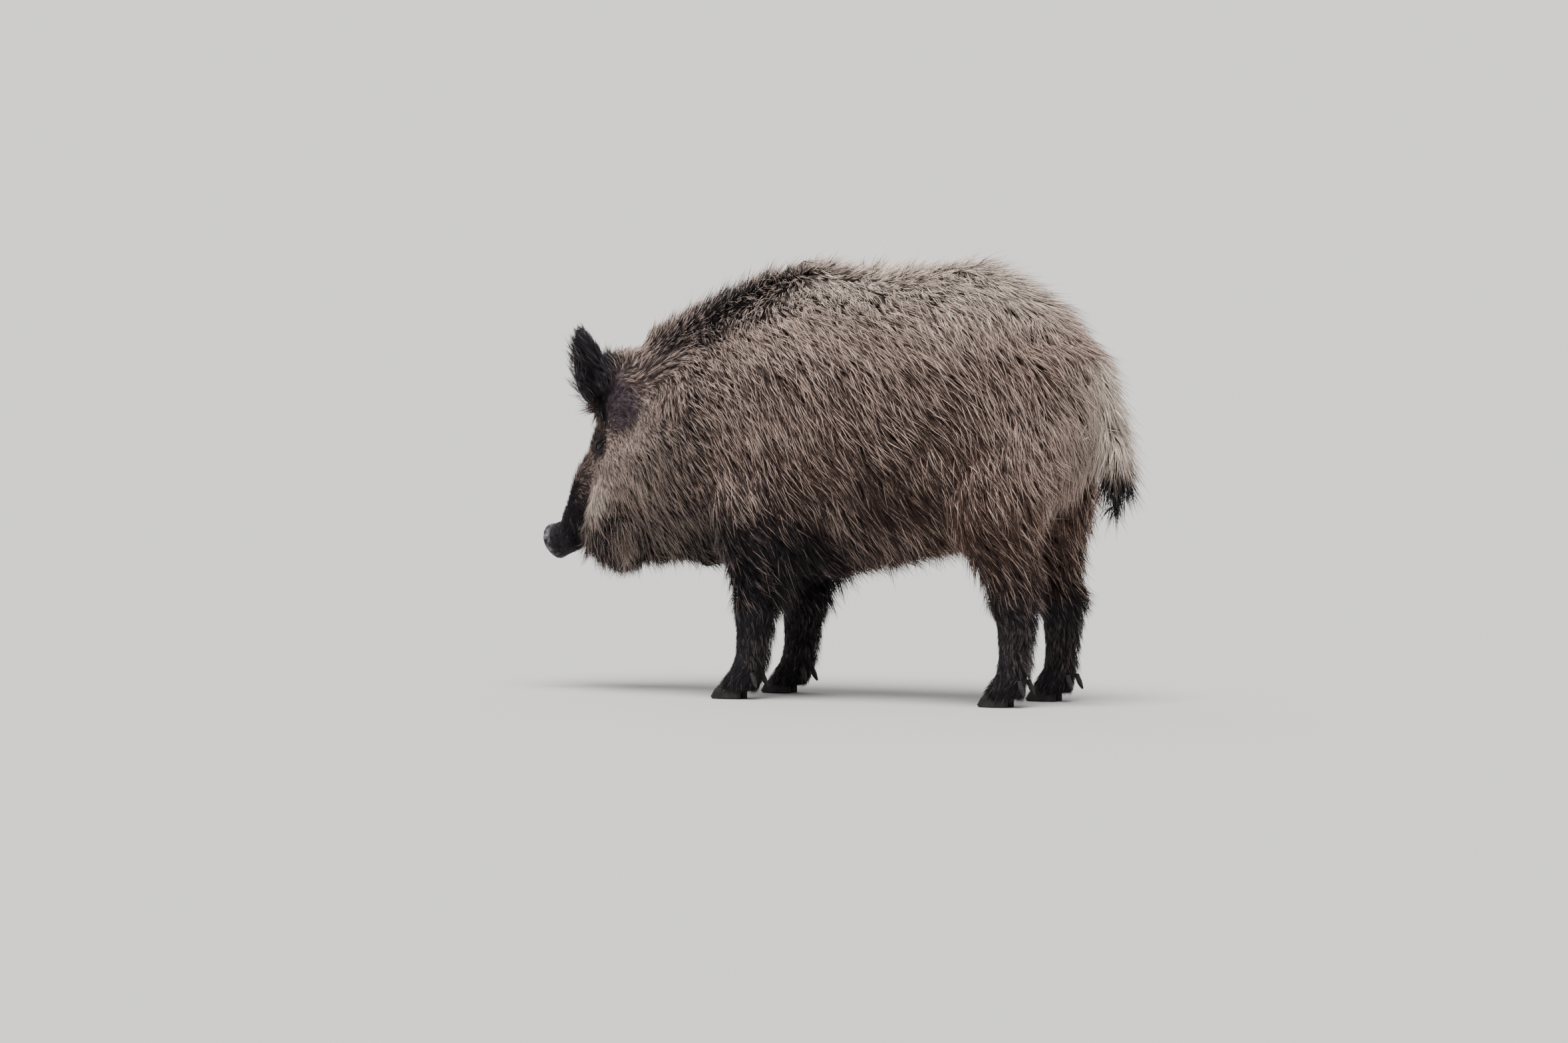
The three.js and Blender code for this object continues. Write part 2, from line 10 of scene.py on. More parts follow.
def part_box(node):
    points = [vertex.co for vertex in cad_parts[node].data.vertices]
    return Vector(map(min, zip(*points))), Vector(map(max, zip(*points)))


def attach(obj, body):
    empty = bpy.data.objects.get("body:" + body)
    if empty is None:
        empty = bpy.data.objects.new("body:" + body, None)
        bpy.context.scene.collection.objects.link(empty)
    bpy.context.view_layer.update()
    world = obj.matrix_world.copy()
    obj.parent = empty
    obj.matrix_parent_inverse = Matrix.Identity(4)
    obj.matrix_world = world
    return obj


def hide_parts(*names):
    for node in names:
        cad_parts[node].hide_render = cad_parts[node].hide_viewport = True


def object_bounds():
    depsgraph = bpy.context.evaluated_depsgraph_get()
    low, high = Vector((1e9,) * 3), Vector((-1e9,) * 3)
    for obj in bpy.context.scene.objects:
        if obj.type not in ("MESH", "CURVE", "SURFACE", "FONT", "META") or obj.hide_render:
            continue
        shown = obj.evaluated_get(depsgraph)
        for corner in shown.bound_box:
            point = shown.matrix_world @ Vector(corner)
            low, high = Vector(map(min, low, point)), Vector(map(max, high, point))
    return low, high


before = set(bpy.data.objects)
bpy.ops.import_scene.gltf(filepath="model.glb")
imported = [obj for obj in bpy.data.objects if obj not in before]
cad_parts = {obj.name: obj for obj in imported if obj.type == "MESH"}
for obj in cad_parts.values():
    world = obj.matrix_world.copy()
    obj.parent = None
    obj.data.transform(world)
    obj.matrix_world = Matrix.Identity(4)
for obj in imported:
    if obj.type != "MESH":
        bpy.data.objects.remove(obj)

bl_info = {
    "name": "Wild Boar",
    "version": (1, 0, 0),
    "blender": (4, 5, 0),
    "location": "3D View > Sidebar > Boar",
    "description": "Skin, winter coat, eyes and claws of a standing wild boar",
    "category": "Add Mesh",
}

CAD_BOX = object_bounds()

# ---------- the nodes of the frame ----------
SIDES = {"left": 1, "right": -1}
LEGS = ("foreleg_left", "foreleg_right", "hind_leg_left", "hind_leg_right")
CLAWS = tuple(
    f"{leg}_{kind}_{rank}"
    for leg in LEGS
    for kind in ("claw", "dewclaw")
    for rank in ("inner", "outer")
)
EYES = ("eye_left", "eye_right")
FLESH = tuple(sorted(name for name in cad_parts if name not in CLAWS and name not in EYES))
BODY = "root"

# ---------- the head's own directions ----------
# s runs from the crown to the snout, d towards the forehead, w to the boar's left.
HEAD_DROP = math.radians(49)
HEAD_TURN = math.radians(8)
EYE_PLACE = (0.136, -0.008)  # s and d of both eyes


def middle_of(node):
    low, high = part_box(node)
    return np.array((low + high) / 2)


def head_axes():
    """The head's three directions as rows: along it, towards the forehead, to the left."""
    turn = np.array([
        [math.cos(HEAD_TURN), math.sin(HEAD_TURN), 0],
        [-math.sin(HEAD_TURN), math.cos(HEAD_TURN), 0],
        [0, 0, 1],
    ])
    along = turn @ (0, -math.cos(HEAD_DROP), -math.sin(HEAD_DROP))
    up = turn @ (0, -math.sin(HEAD_DROP), math.cos(HEAD_DROP))
    return np.array([along, up, turn @ (1, 0, 0)])


HEAD_AXES = head_axes()
EYES_MIDDLE = (middle_of("eye_left") + middle_of("eye_right")) / 2
HEAD_ORIGIN = EYES_MIDDLE - np.array([*EYE_PLACE, 0]) @ HEAD_AXES


def on_head(points):
    """s, d and w of points."""
    return (points - HEAD_ORIGIN) @ HEAD_AXES.T


# ---------- small tools ----------
def ease(x, low, high):
    """0 below low, 1 above high and a smooth climb between; high may be the lower of the two."""
    t = np.clip((x - low) / (high - low), 0, 1)
    return t * t * (3 - 2 * t)


def bump_at(x, centre, width):
    """1 at the centre, falling smoothly to 0 a width away."""
    return 1 - ease(np.abs(x - centre), 0, width)


def ripple(points, size, seed):
    """Smooth irregular values from -1 to 1 with swells about one size long."""
    draw = np.random.default_rng(seed)
    total = np.zeros(len(points))
    waves = 7
    for _ in range(waves):
        way = draw.normal(size=3)
        way *= draw.uniform(0.6, 1.5) * 2 * math.pi / size / np.linalg.norm(way)
        total += np.sin(points @ way + draw.uniform(0, 2 * math.pi))
    return total / waves**0.5 * 0.8


def unit(vectors):
    return vectors / np.maximum(np.linalg.norm(vectors, axis=-1, keepdims=True), 1e-9)


def get(collection, name, width=1, kind=np.float32):
    """A property of every item of a collection, as an array."""
    values = np.empty(len(collection) * width, kind)
    collection.foreach_get(name, values)
    return values.reshape(-1, width) if width > 1 else values


def store(mesh, name, values, kind="FLOAT"):
    """Keeps a value for each point of the mesh as an attribute."""
    values = np.asarray(values, np.int32 if kind == "INT" else np.float32).ravel()
    data = mesh.attributes.new(name, kind, "POINT").data
    data.foreach_set("vector" if kind == "FLOAT_VECTOR" else "value", values)


def points_of(mesh):
    return get(mesh.vertices, "co", 3).astype(float)


def move_points(mesh, points):
    mesh.vertices.foreach_set("co", points.astype(np.float32).ravel())
    mesh.update()


def normals_of(mesh):
    return get(mesh.vertex_normals, "vector", 3).astype(float)


def edges_of(mesh):
    return get(mesh.edges, "vertices", 2, np.int32)


def triangle_count(mesh):
    return sum(len(face.vertices) - 2 for face in mesh.polygons)


def spread(values, edges, rounds, weight=0.5):
    """Values of points, evened out along the edges."""
    a, b = edges.T
    count = np.bincount(edges.ravel(), minlength=len(values))
    for _ in range(rounds):
        total = np.bincount(a, values[b], len(values)) + np.bincount(b, values[a], len(values))
        values = values + weight * (total / np.maximum(count, 1) - values)
    return values


def relax(points, edges, rounds, weights, push=-0.53):
    """Points smoothed along the edges; a push after each pull keeps the volume."""
    for _ in range(rounds):
        for amount in (0.5, push):
            if not amount:
                continue
            evened = np.stack([spread(points[:, k], edges, 1, 1.0) for k in range(3)], axis=1)
            points = points + (amount * weights)[:, None] * (evened - points)
    return points


def put(name, mesh, material, replaced=()):
    """A finished piece: an object at the origin that rides on the body."""
    piece = bpy.data.objects.new(name, mesh)
    bpy.context.scene.collection.objects.link(piece)
    mesh.materials.clear()
    mesh.materials.append(material)
    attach(piece, BODY)
    if replaced:
        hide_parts(*replaced)
    return piece


def evaluated_mesh(mesh, add_modifiers):
    """The mesh after modifiers that a function adds to an object of it."""
    held = bpy.data.objects.new("held", mesh)
    bpy.context.scene.collection.objects.link(held)
    add_modifiers(held)
    graph = bpy.context.evaluated_depsgraph_get()
    made = bpy.data.meshes.new_from_object(held.evaluated_get(graph), depsgraph=graph)
    held.modifiers.clear()
    bpy.data.objects.remove(held)
    return made


def changed(mesh, change, name="changed"):
    """A new mesh: the old one after a change to its bmesh."""
    work = bmesh.new()
    work.from_mesh(mesh)
    change(work)
    made = bpy.data.meshes.new(name)
    work.to_mesh(made)
    work.free()
    return made


def welded(mesh, reach=1e-5):
    """A copy of loose triangles with their shared points merged."""
    return changed(mesh, lambda work: bmesh.ops.remove_doubles(work, verts=work.verts, dist=reach))


def in_cells(mesh, size):
    """The mesh modelled anew in small cells, which makes one surface of what overlaps."""

    def remesh(held):
        modifier = held.modifiers.new("cells", "REMESH")
        modifier.mode = "VOXEL"
        modifier.voxel_size = size

    return evaluated_mesh(mesh, remesh)


# ---------- finishes ----------
class Signal:
    """A shader socket that takes part in arithmetic."""

    def __init__(self, finish, socket):
        self.finish = finish
        self.socket = socket

    def maths(self, operation, *values):
        settings = {"operation": operation}
        return self.finish.signal("ShaderNodeMath", 0, settings, dict(enumerate(values)))

    def __add__(self, other):
        return self.maths("ADD", self, other)

    def __radd__(self, other):
        return self.maths("ADD", other, self)

    def __sub__(self, other):
        return self.maths("SUBTRACT", self, other)

    def __rsub__(self, other):
        return self.maths("SUBTRACT", other, self)

    def __mul__(self, other):
        return self.maths("MULTIPLY", self, other)

    def __rmul__(self, other):
        return self.maths("MULTIPLY", other, self)

    def clamped(self):
        return self.maths("MINIMUM", self.maths("MAXIMUM", self, 0.0), 1.0)


class Nodes:
    """A node tree: every node of it comes from one method."""

    def node(self, kind, settings=None, values=None):
        made = self.tree.nodes.new(kind)
        for key, value in (settings or {}).items():
            if key == "stops":
                set_stops(made.color_ramp, value)
            else:
                setattr(made, key, value)
        for key, value in (values or {}).items():
            value = value.socket if isinstance(value, Signal) else value
            if isinstance(value, bpy.types.NodeSocket):
                self.tree.links.new(value, made.inputs[key])
            else:
                made.inputs[key].default_value = value
        return made


class Finish(Nodes):
    """A material or a world, with its maths as expressions on signals."""

    def __init__(self, name, kind="materials"):
        self.material = getattr(bpy.data, kind).new(name)
        self.material.use_nodes = True
        self.tree = self.material.node_tree
        self.tree.nodes.clear()

    def signal(self, kind, output, settings=None, values=None):
        return Signal(self, self.node(kind, settings, values).outputs[output])

    def attribute(self, name):
        return self.signal("ShaderNodeAttribute", "Fac", {"attribute_name": name})

    def vector(self, operation, first, second):
        settings = {"operation": operation}
        return self.signal("ShaderNodeVectorMath", 0, settings, {0: first, 1: second})

    def place(self, scale=(1, 1, 1), turn=(0, 0, 0)):
        """Object coordinates, turned and then stretched."""
        spot = self.signal("ShaderNodeTexCoord", "Object")
        turned = self.signal("ShaderNodeMapping", 0, {}, {"Vector": spot, "Rotation": turn})
        return self.vector("MULTIPLY", turned, scale)

    def noise(self, size, detail=3.0, scale=(1, 1, 1), rough=0.55, turn=(0, 0, 0), output=0):
        """Cloudy values with swells of about one size in metres."""
        values = {
            "Vector": self.place(scale, turn),
            "Scale": 1 / size,
            "Detail": detail,
            "Roughness": rough,
        }
        return self.signal("ShaderNodeTexNoise", output, {}, values)

    def cracks(self, size, wander):
        """Distances to the edges of cells of about one size in metres, bent by a vector."""
        spot = self.vector("ADD", self.place(), self.vector("MULTIPLY", wander, (size * 0.8,) * 3))
        values = {"Vector": spot, "Scale": 1 / size}
        settings = {"feature": "DISTANCE_TO_EDGE"}
        return self.signal("ShaderNodeTexVoronoi", "Distance", settings, values)

    def ramp(self, signal, stops):
        return self.signal("ShaderNodeValToRGB", 0, {"stops": stops}, {0: signal})

    def mix(self, first, second, factor, blend="MIX"):
        """A colour between two others."""
        settings = {"data_type": "RGBA", "blend_type": blend}
        return self.signal("ShaderNodeMix", 2, settings, {0: factor, 6: first, 7: second})

    def multiply(self, first, second):
        return self.mix(first, second, 1.0, "MULTIPLY")

    def bump(self, height, distance, strength):
        values = {"Height": height, "Distance": distance, "Strength": strength}
        return self.signal("ShaderNodeBump", 0, {}, values)

    def shade(self, values):
        """Ends the material with one principled shader."""
        shader = self.node("ShaderNodeBsdfPrincipled", {}, values)
        self.node("ShaderNodeOutputMaterial", {}, {0: shader.outputs[0]})
        return self.material


def set_stops(ramp, stops):
    while len(ramp.elements) > 1:
        ramp.elements.remove(ramp.elements[-1])
    for i, (position, colour) in enumerate(stops):
        element = ramp.elements[0] if i == 0 else ramp.elements.new(position)
        element.position = position
        element.color = colour


def grey(value):
    return (value, value, value, 1.0)


# ---------- sizes and colours that a user would change ----------
def length(name, default, description):
    return bpy.props.FloatProperty(
        name=name, description=description, default=default, min=0.0, unit="LENGTH"
    )


def colour(name, default, description):
    return bpy.props.FloatVectorProperty(
        name=name, description=description, default=default,
        min=0.0, max=1.0, size=4, subtype="COLOR",
    )


class BoarSkinSizes(bpy.types.PropertyGroup):
    voxel: length("Skin grain", 0.0032, "Side of the cells that the skin is first modelled in")
    seam: length("Seam growth", 0.0005, "Growth that closes the cuts between the solids")
    ear_growth: length("Ear growth", 0.0015, "Growth that keeps the thin ears whole")
    lid: length("Lid thickness", 0.0014, "Thickness of the eyelids")
    mouth: length("Mouth depth", 0.0035, "Depth of the line between the lips")


class BoarCoatSizes(bpy.types.PropertyGroup):
    width: length("Lock width", 0.0090, "Width of a lock at its root")
    density: bpy.props.FloatProperty(
        name="Density", description="Share of the full number of locks",
        default=1.0, min=0.05, max=1.2,
    )


class BoarColours(bpy.types.PropertyGroup):
    root: colour("Roots", (0.020, 0.015, 0.017, 1), "Colour at the foot of the hair")
    hair: colour("Hair", (0.092, 0.058, 0.054, 1), "Main colour of the hair")
    tip: colour("Tips", (1.000, 0.765, 0.655, 1), "Colour of the split tips")
    warm: colour("Warm hair", (0.215, 0.108, 0.070, 1), "Colour of the flank's warm hair")
    dark: colour("Dark hair", (0.0095, 0.008, 0.0118, 1), "Colour of the mane and the legs")
    pale: colour("Pale hair", (0.860, 0.740, 0.645, 1), "Colour of the tail and the cheek stripe")
    snout: colour("Snout", (0.210, 0.205, 0.230, 1), "Dry skin of the snout's disc")
    ear: colour("Ear skin", (0.062, 0.043, 0.058, 1), "Thinly haired skin behind the ear")
    iris: colour("Iris", (0.013, 0.0075, 0.006, 1), "Colour of the iris")
    claw: colour("Claw", (0.011, 0.009, 0.010, 1), "Horn of the claws")
    floor: colour("Floor", (0.44, 0.436, 0.428, 1), "Colour of the floor")


# ---------- the ears' own directions, in s, d and w ----------
EAR_ROOT = (0.060, 0.026, 0.068)
EAR_LENGTH = 0.136
EAR_REACH = 0.047
EAR_TIPS = {"left": (-0.4, 0.88, 0.25), "right": (-0.6, 0.5, -0.62)}
EAR_OPENINGS = {"left": (0.25, 0.1, 0.96), "right": (0.4, -0.1, -0.9)}


def ear_place(points, side):
    """How far points lie along an ear's axis from its root, and how far from the axis."""
    tip = unit(np.array(EAR_TIPS[side]))
    root = np.array(EAR_ROOT) * (1, 1, SIDES[side])
    away = on_head(points) - root
    height = away @ tip
    return height, np.linalg.norm(away - height[:, None] * tip, axis=1)


# ---------- where each kind of coat lies ----------
# For each kind of node: coat depth and hair length in metres, locks for each square metre, how far
# they are lifted in radians, lock width as a share of the widest, the dark, pale and warm shares of
# their colour, and the share of strands with light tips.
KINDS = {
    "head": (0.0080, 0.019, 60000, -0.06, 0.52, 0.12, 0.04, 0.05, 0.54),
    "muzzle": (0.0032, 0.015, 78000, -0.34, 0.48, 0.30, 0.0, 0.0, 0.45),
    "lower_jaw": (0.0045, 0.019, 68000, -0.16, 0.52, 0.30, 0.05, 0.0, 0.50),
    "snout": (0.0006, 0.008, 60000, -0.34, 0.34, 1.0, 0.0, 0.0, 0.05),
    "ear": (0.0008, 0.013, 56000, -0.20, 0.44, 1.00, 0.0, 0.0, 0.08),
    "neck": (0.0215, 0.040, 40000, -0.03, 0.80, 0.08, 0.07, 0.05, 0.60),
    "chest": (0.0260, 0.054, 29000, -0.04, 0.98, 0.05, 0.03, 0.20, 0.58),
    "belly": (0.0260, 0.058, 27500, -0.04, 1.02, 0.05, 0.02, 0.40, 0.48),
    "rump": (0.0240, 0.058, 26500, -0.02, 1.02, 0.03, 0.05, 0.40, 0.55),
    "shoulder": (0.0150, 0.038, 28000, -0.05, 0.92, 0.10, 0.0, 0.15, 0.42),
    "thigh": (0.0190, 0.048, 26500, -0.04, 0.98, 0.12, 0.0, 0.45, 0.45),
    "forearm": (0.0030, 0.017, 34000, -0.24, 0.60, 0.96, 0.0, 0.0, 0.35),
    "shank": (0.0035, 0.018, 32000, -0.24, 0.60, 0.92, 0.0, 0.05, 0.38),
    "foot": (0.0022, 0.015, 50000, -0.25, 0.44, 0.98, 0.0, 0.0, 0.30),
    "tail": (0.0140, 0.060, 46000, 0.06, 0.85, 0.0, 1.0, 0.0, 0.9),
    "tail_tip": (0.0150, 0.052, 46000, 0.0, 0.80, 0.95, 0.0, 0.0, 0.1),
    "claw": (0.0002, 0.021, 60000, -0.14, 0.44, 0.97, 0.0, 0.0, 0.2),
    "eye": (0.0, 0.004, 0, 0.0, 0.3, 0.6, 0.0, 0.0, 0.2),
}
COAT_FIELDS = ("depth", "length", "density", "lift", "width", "dark", "pale", "warm", "light")
SKIN_FIELDS = ("ear", "bare", "disc", "deep", "skull", "lid", "rim")


def kind_of(node):
    """The kind of coat on a node: its name without the side and the leg."""
    if node in KINDS:
        return node
    for kind in ("ear", "eye"):
        if node.startswith(kind):
            return kind
    if "claw" in node:
        return "claw"
    return node.rsplit("_", 1)[1]


def kinds_at(nodes, names):
    """The kind of coat at each point, from its node."""
    return np.array([kind_of(name) for name in names])[nodes]


class Finder:
    """Tells which node of the frame lies nearest to a point."""

    def __init__(self):
        corners, triangles, self.owner = [], [], []
        for name in sorted(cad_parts):
            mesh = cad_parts[name].data
            mesh.calc_loop_triangles()
            start = len(corners)
            corners += [v.co.copy() for v in mesh.vertices]
            triangles += [tuple(start + i for i in t.vertices) for t in mesh.loop_triangles]
            self.owner += [name] * len(mesh.loop_triangles)
        self.tree = BVHTree.FromPolygons(corners, triangles)
        self.names = sorted(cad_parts)

    def nodes_at(self, points):
        order = {name: i for i, name in enumerate(self.names)}
        found = np.array([order[self.owner[self.tree.find_nearest(Vector(p))[2]]] for p in points])
        for side in SIDES:
            height, reach = ear_place(points, side)
            foot = (height > 0.007) & (height < EAR_LENGTH) & (reach < EAR_REACH)
            found[foot & (found == order["head"])] = order[f"ear_{side}"]
        return found


EYE_RADIUS = 0.0130
LID_HALF_LENGTH = 0.0112
LID_RISE = 0.0054  # half height of the opening above the middle
LID_FALL = 0.0036
LID_TILT = math.radians(5)
LID_REACH = 2.2  # how far the lids reach, in the radii of their ball


def round_eye(points, side):
    """Places about an eye: along its opening, up, outwards, and how far outside the opening."""
    middle = on_head(middle_of(f"eye_{side}")[None, :])[0]
    a, b, out = ((on_head(points) - middle) * (1, 1, SIDES[side])).T
    along = a * math.cos(LID_TILT) + b * math.sin(LID_TILT)
    up = b * math.cos(LID_TILT) - a * math.sin(LID_TILT)
    share = np.clip(1 - (along / LID_HALF_LENGTH) ** 2, -0.6, 1)
    height = np.where(up > 0, LID_RISE, LID_FALL) * share
    return along, up, out, (np.abs(up) - height) / LID_RISE


EAR_BULGE = (0.042, -0.010, 0.096)  # s, d and w of the swelling behind and below the ear
EAR_MOUTH = (0.080, 0.026, 0.078)  # s, d and w of the lower end of the ear's opening
EAR_FRINGE = (0.074, 0.046, 0.066)  # s, d and w of the tan fringe before the ear's opening
SNOUT_MIDDLE = (0.338, -0.033)
SNOUT_TILT = math.radians(30)
NOSTRIL_OUT = 0.014  # from the middle of the disc to the middle of a nostril


def on_snout(s, d):
    """How far points lie in front of the snout's disc, and above its middle."""
    ahead, above = s - SNOUT_MIDDLE[0], d - SNOUT_MIDDLE[1]
    cosine, sine = math.cos(SNOUT_TILT), math.sin(SNOUT_TILT)
    return ahead * cosine + above * sine, above * cosine - ahead * sine


def coat_fields(points, normals, nodes, names, edges):
    """Every coat value at each point of the skin, from its node and from where it lies."""
    table = np.array([KINDS[kind_of(name)] for name in names])
    field = {key: spread(table[nodes, k], edges, 26) for k, key in enumerate(COAT_FIELDS)}
    kinds = kinds_at(nodes, names)
    x, y, z = points.T
    _, ny, nz = normals.T
    s, d, w = on_head(points).T

    def share_of(*wanted, rounds=10):
        return spread(np.isin(kinds, wanted).astype(float), edges, rounds)

    def add(mask, **amounts):
        for key, amount in amounts.items():
            field[key] = field[key] + amount * mask

    def fade(mask, **amounts):
        for key, amount in amounts.items():
            field[key] = field[key] * (1 - amount * mask)

    def body_spot(y_middle, y_width, z_middle, z_width):
        return bump_at(y, y_middle, y_width) * bump_at(z, z_middle, z_width)

    def ear_spot(place, way, swell, inside, outside):
        away = np.sqrt((s - place[0]) ** 2 + (d - place[1]) ** 2 + (w - way * place[2]) ** 2)
        return ease(away + swell, outside, inside)

    trunk = share_of("neck", "chest", "belly", "rump")
    skull = share_of("head", "muzzle", "lower_jaw", rounds=6)
    ear = share_of("ear", rounds=3)
    wide_shoulder = share_of("shoulder", rounds=30)

    # Painted top light: the coat is lighter along the top from withers to rump, and painted shade
    # darkens it towards the belly.
    add(trunk * (0.39 * ease(z, 0.57, 0.69) - 0.14 * ease(z, 0.50, 0.34) - 0.06), light=1)
    # Painted top light: paler hair along the top of the back.
    add(trunk * ease(z, 0.63, 0.73) * ease(y, -0.26, -0.15), pale=0.70)
    # Painted top light: lighter hair over the upper neck and the withers.
    add(trunk * ease(y, -0.22, -0.30) * ease(z, 0.50, 0.60), light=0.32)
    add(trunk * bump_at(y, -0.08, 0.20) * ease(z, 0.58, 0.66), light=0.20)
    add(trunk * body_spot(0.14, 0.22, 0.49, 0.17), light=-0.20)
    add(share_of("thigh", rounds=40), light=-0.34)
    add(share_of("thigh") * ease(z, 0.33, 0.24), dark=0.45)
    add(wide_shoulder * ease(z, 0.42, 0.31), dark=0.70)

    # The mane stands up along the neck and the withers and fades over the loins.
    crest = trunk * ease(nz, 0.10, 0.55) * ease(np.abs(x), 0.088, 0.044)
    behind_head = crest * ease(y, -0.44, -0.38)
    mane = behind_head * ease(y, 0.30, 0.02)
    nuchal = behind_head * ease(y, -0.10, -0.20)
    stripe = crest * ease(y, -0.37, -0.33) * ease(y, 0.06, -0.08)
    stripe *= ease(np.abs(x) + 0.03 * ease(y, -0.20, -0.04), 0.115, 0.075)
    nape = trunk * bump_at(y, -0.385, 0.05) * ease(z, 0.56, 0.60)
    add(0.008 * mane - 0.010 * nuchal, depth=1)
    add(nuchal, length=0.006)
    add(mane * (0.40 - 0.10 * ease(y, -0.08, 0.0)), lift=1)
    add(mane, width=-0.12)
    add(stripe, dark=1.05, light=-0.60)
    add(crest * bump_at(y, 0.22, 0.2), dark=0.24)
    add(nape, pale=0.35, warm=0.45)

    # Fringes hang below the chest and the belly, under the jaw and behind the elbows.
    under = trunk * ease(nz, -0.10, -0.65)
    add(under, depth=0.010, length=0.008, density=-5000)
    add(under * ease(y, 0.42, 0.3), lift=0.34)
    add(under * ease(y, 0.02, -0.15), dark=0.30)
    add(body_spot(-0.04, 0.09, 0.25, 0.11) * ease(ny, 0.1, 0.7), length=0.030, lift=0.50)
    add(body_spot(-0.06, 0.15, 0.24, 0.12) * ease(nz, 0.6, 0.1), dark=0.55)
    add(body_spot(-0.06, 0.15, 0.24, 0.13), light=-0.3)
    # Painted shadow under the lowered head: darker on the lower neck and in a band down the throat.
    add(bump_at(y, -0.26, 0.15) * ease(z, 0.40, 0.29), dark=0.75)
    add(trunk * bump_at(y, -0.205, 0.12) * bump_at(z + 0.9 * (y + 0.216), 0.340, 0.085), dark=0.85)

    # The legs are sleek before, with longer hair behind and above.
    leg = share_of("forearm", "shank", rounds=20)
    add(leg * ease(ny, -0.1, 0.6), length=0.008, lift=0.24)
    add(leg * ease(z, 0.15, 0.25), length=0.014, lift=0.12)
    add(leg * ease(z, 0.18, 0.13) * ease(ny, 0.3, -0.2), length=-0.004, lift=-0.10)

    # The buttocks are pale behind, and painted shade darkens the fold in the flank before the
    # thigh.
    add(trunk * body_spot(0.56, 0.11, 0.50, 0.26), pale=0.85)
    add(body_spot(0.46, 0.12, 0.48, 0.20), light=0.30)
    add(trunk * body_spot(0.12, 0.16, 0.36, 0.12), dark=0.16)

    # The face: sleek hair, light cheeks with a pale stripe, dark round the eyes, long at the jaw.
    cheek = skull * bump_at(s, 0.10, 0.14) * ease(d, 0, -0.05) * ease(d, -0.16, -0.12)
    jowl = skull * ease(d, -0.085, -0.125) * ease(s, 0.27, 0.20)
    chin = skull * ease(s, 0.21, 0.25) * ease(d, -0.062, -0.085)
    bridge = skull * bump_at(s, 0.235, 0.070) * ease(np.abs(w), 0.038, 0.020)
    bridge *= ease(d, -0.06, -0.03)
    blaze = skull * bump_at(d, -0.070 - 0.1 * (s - 0.2), 0.030) * bump_at(s, 0.205, 0.065)
    add(cheek, light=0.25, pale=0.16)
    add(jowl, length=0.018, depth=0.005, lift=0.30, dark=0.62)
    add(chin, length=0.014, lift=0.30, dark=0.45)
    add(chin * ease(s, 0.27, 0.29), length=0.008)
    add(bridge, length=0.009, lift=0.30)
    add(blaze, pale=0.80, light=0.50, dark=-0.60, length=0.010)
    field["lid"], field["rim"] = np.zeros((2, len(points)))
    for side in SIDES:
        along, up, out, opening = round_eye(points, side)
        on_face = ease(np.abs(out), 0.045, 0.035)
        near_eye = ease(np.hypot(along, up), 0.040, 0.020) * on_face
        add(near_eye * ease(up, -0.03, 0.0), dark=0.60)
        add(near_eye, light=-0.25, lift=-0.12)
        fade(near_eye, length=0.48, depth=0.8)
        around = np.hypot(along * 0.76, up * 1.10) + 0.0012 * ripple(points, 0.012, 18)
        fade(ease(around, 0.0132, 0.0108) * on_face, density=1)
        field["lid"] += ease(around, 0.0165, 0.0100) * on_face
        field["rim"] += ease(opening, 0.75, 0.20) * ease(around, 0.0150, 0.0130) * on_face
    # Painted shadow behind and below the cheek.
    add(skull * bump_at(s, 0.0, 0.05) * bump_at(d, -0.06, 0.07), dark=0.35)
    add(skull * ease(s, 0.20, 0.275) * ease(d, -0.08, -0.04), dark=0.65)
    add(skull * ease(s, 0.21, 0.28), light=-0.25)

    # Bare snout: the hair thins out behind the disc.
    forward, lifted = on_snout(s, d)
    fade(ease(forward, -0.035, -0.018), depth=0.85)
    field["density"] *= ease(forward, 0.0125, 0.0060)
    add(skull * ease(forward, -0.04, -0.01), length=-0.005)
    add(ease(forward, -0.055, -0.02) * (skull + share_of("snout", rounds=3)), dark=0.5)
    field["bare"] = ease(forward, -0.020, -0.002)
    field["disc"] = ease(forward, 0.010, 0.017)

    # The ears: long black hair inside, thinly haired skin on the swelling behind.
    mauve = np.zeros(len(points))
    for side, way in SIDES.items():
        opening = unit(np.array(EAR_OPENINGS[side])) @ HEAD_AXES
        mine = nodes == names.index(f"ear_{side}")
        inner = spread(mine * ease(normals @ opening, -0.1, 0.4), edges, 3)
        height, _ = ear_place(points, side)
        outer = 1 - inner
        bulge = ear_spot(EAR_BULGE, way, 0.006 * ripple(points, 0.022, 16), 0.030, 0.056) * outer
        mouth = ear_spot(EAR_MOUTH, way, 0.005 * ripple(points, 0.015, 17), 0.020, 0.038) * outer
        fringe = ear_spot(EAR_FRINGE, way, 0.0, 0.016, 0.030) * (1 - ear)
        mauve = np.maximum(mauve, bulge)
        add(inner * ease(height, 0.13, 0.10), length=0.016)
        add(inner * ease(height, 0.12, 0.05), lift=0.38)
        add(inner, width=0.1)
        add(fringe, length=0.014, lift=0.34, warm=0.5, dark=-0.5)
        add(mouth, length=0.004, lift=0.15, dark=0.75, light=-0.30)
    fade(mauve, depth=0.85, pale=1)
    field["length"] += (0.011 - field["length"]) * mauve
    field["width"] += (0.34 - field["width"]) * mauve
    add(mauve, lift=-0.22, light=-0.40, dark=0.40)
    field["ear"] = np.maximum(ear * 0.5, mauve)
    field["deep"] = ease(field["length"], 0.022, 0.036) * (1 - 0.75 * leg) * (1 - ear)
    field["deep"] *= 1 - 0.45 * wide_shoulder * ease(z, 0.40, 0.30)
    field["skull"] = skull

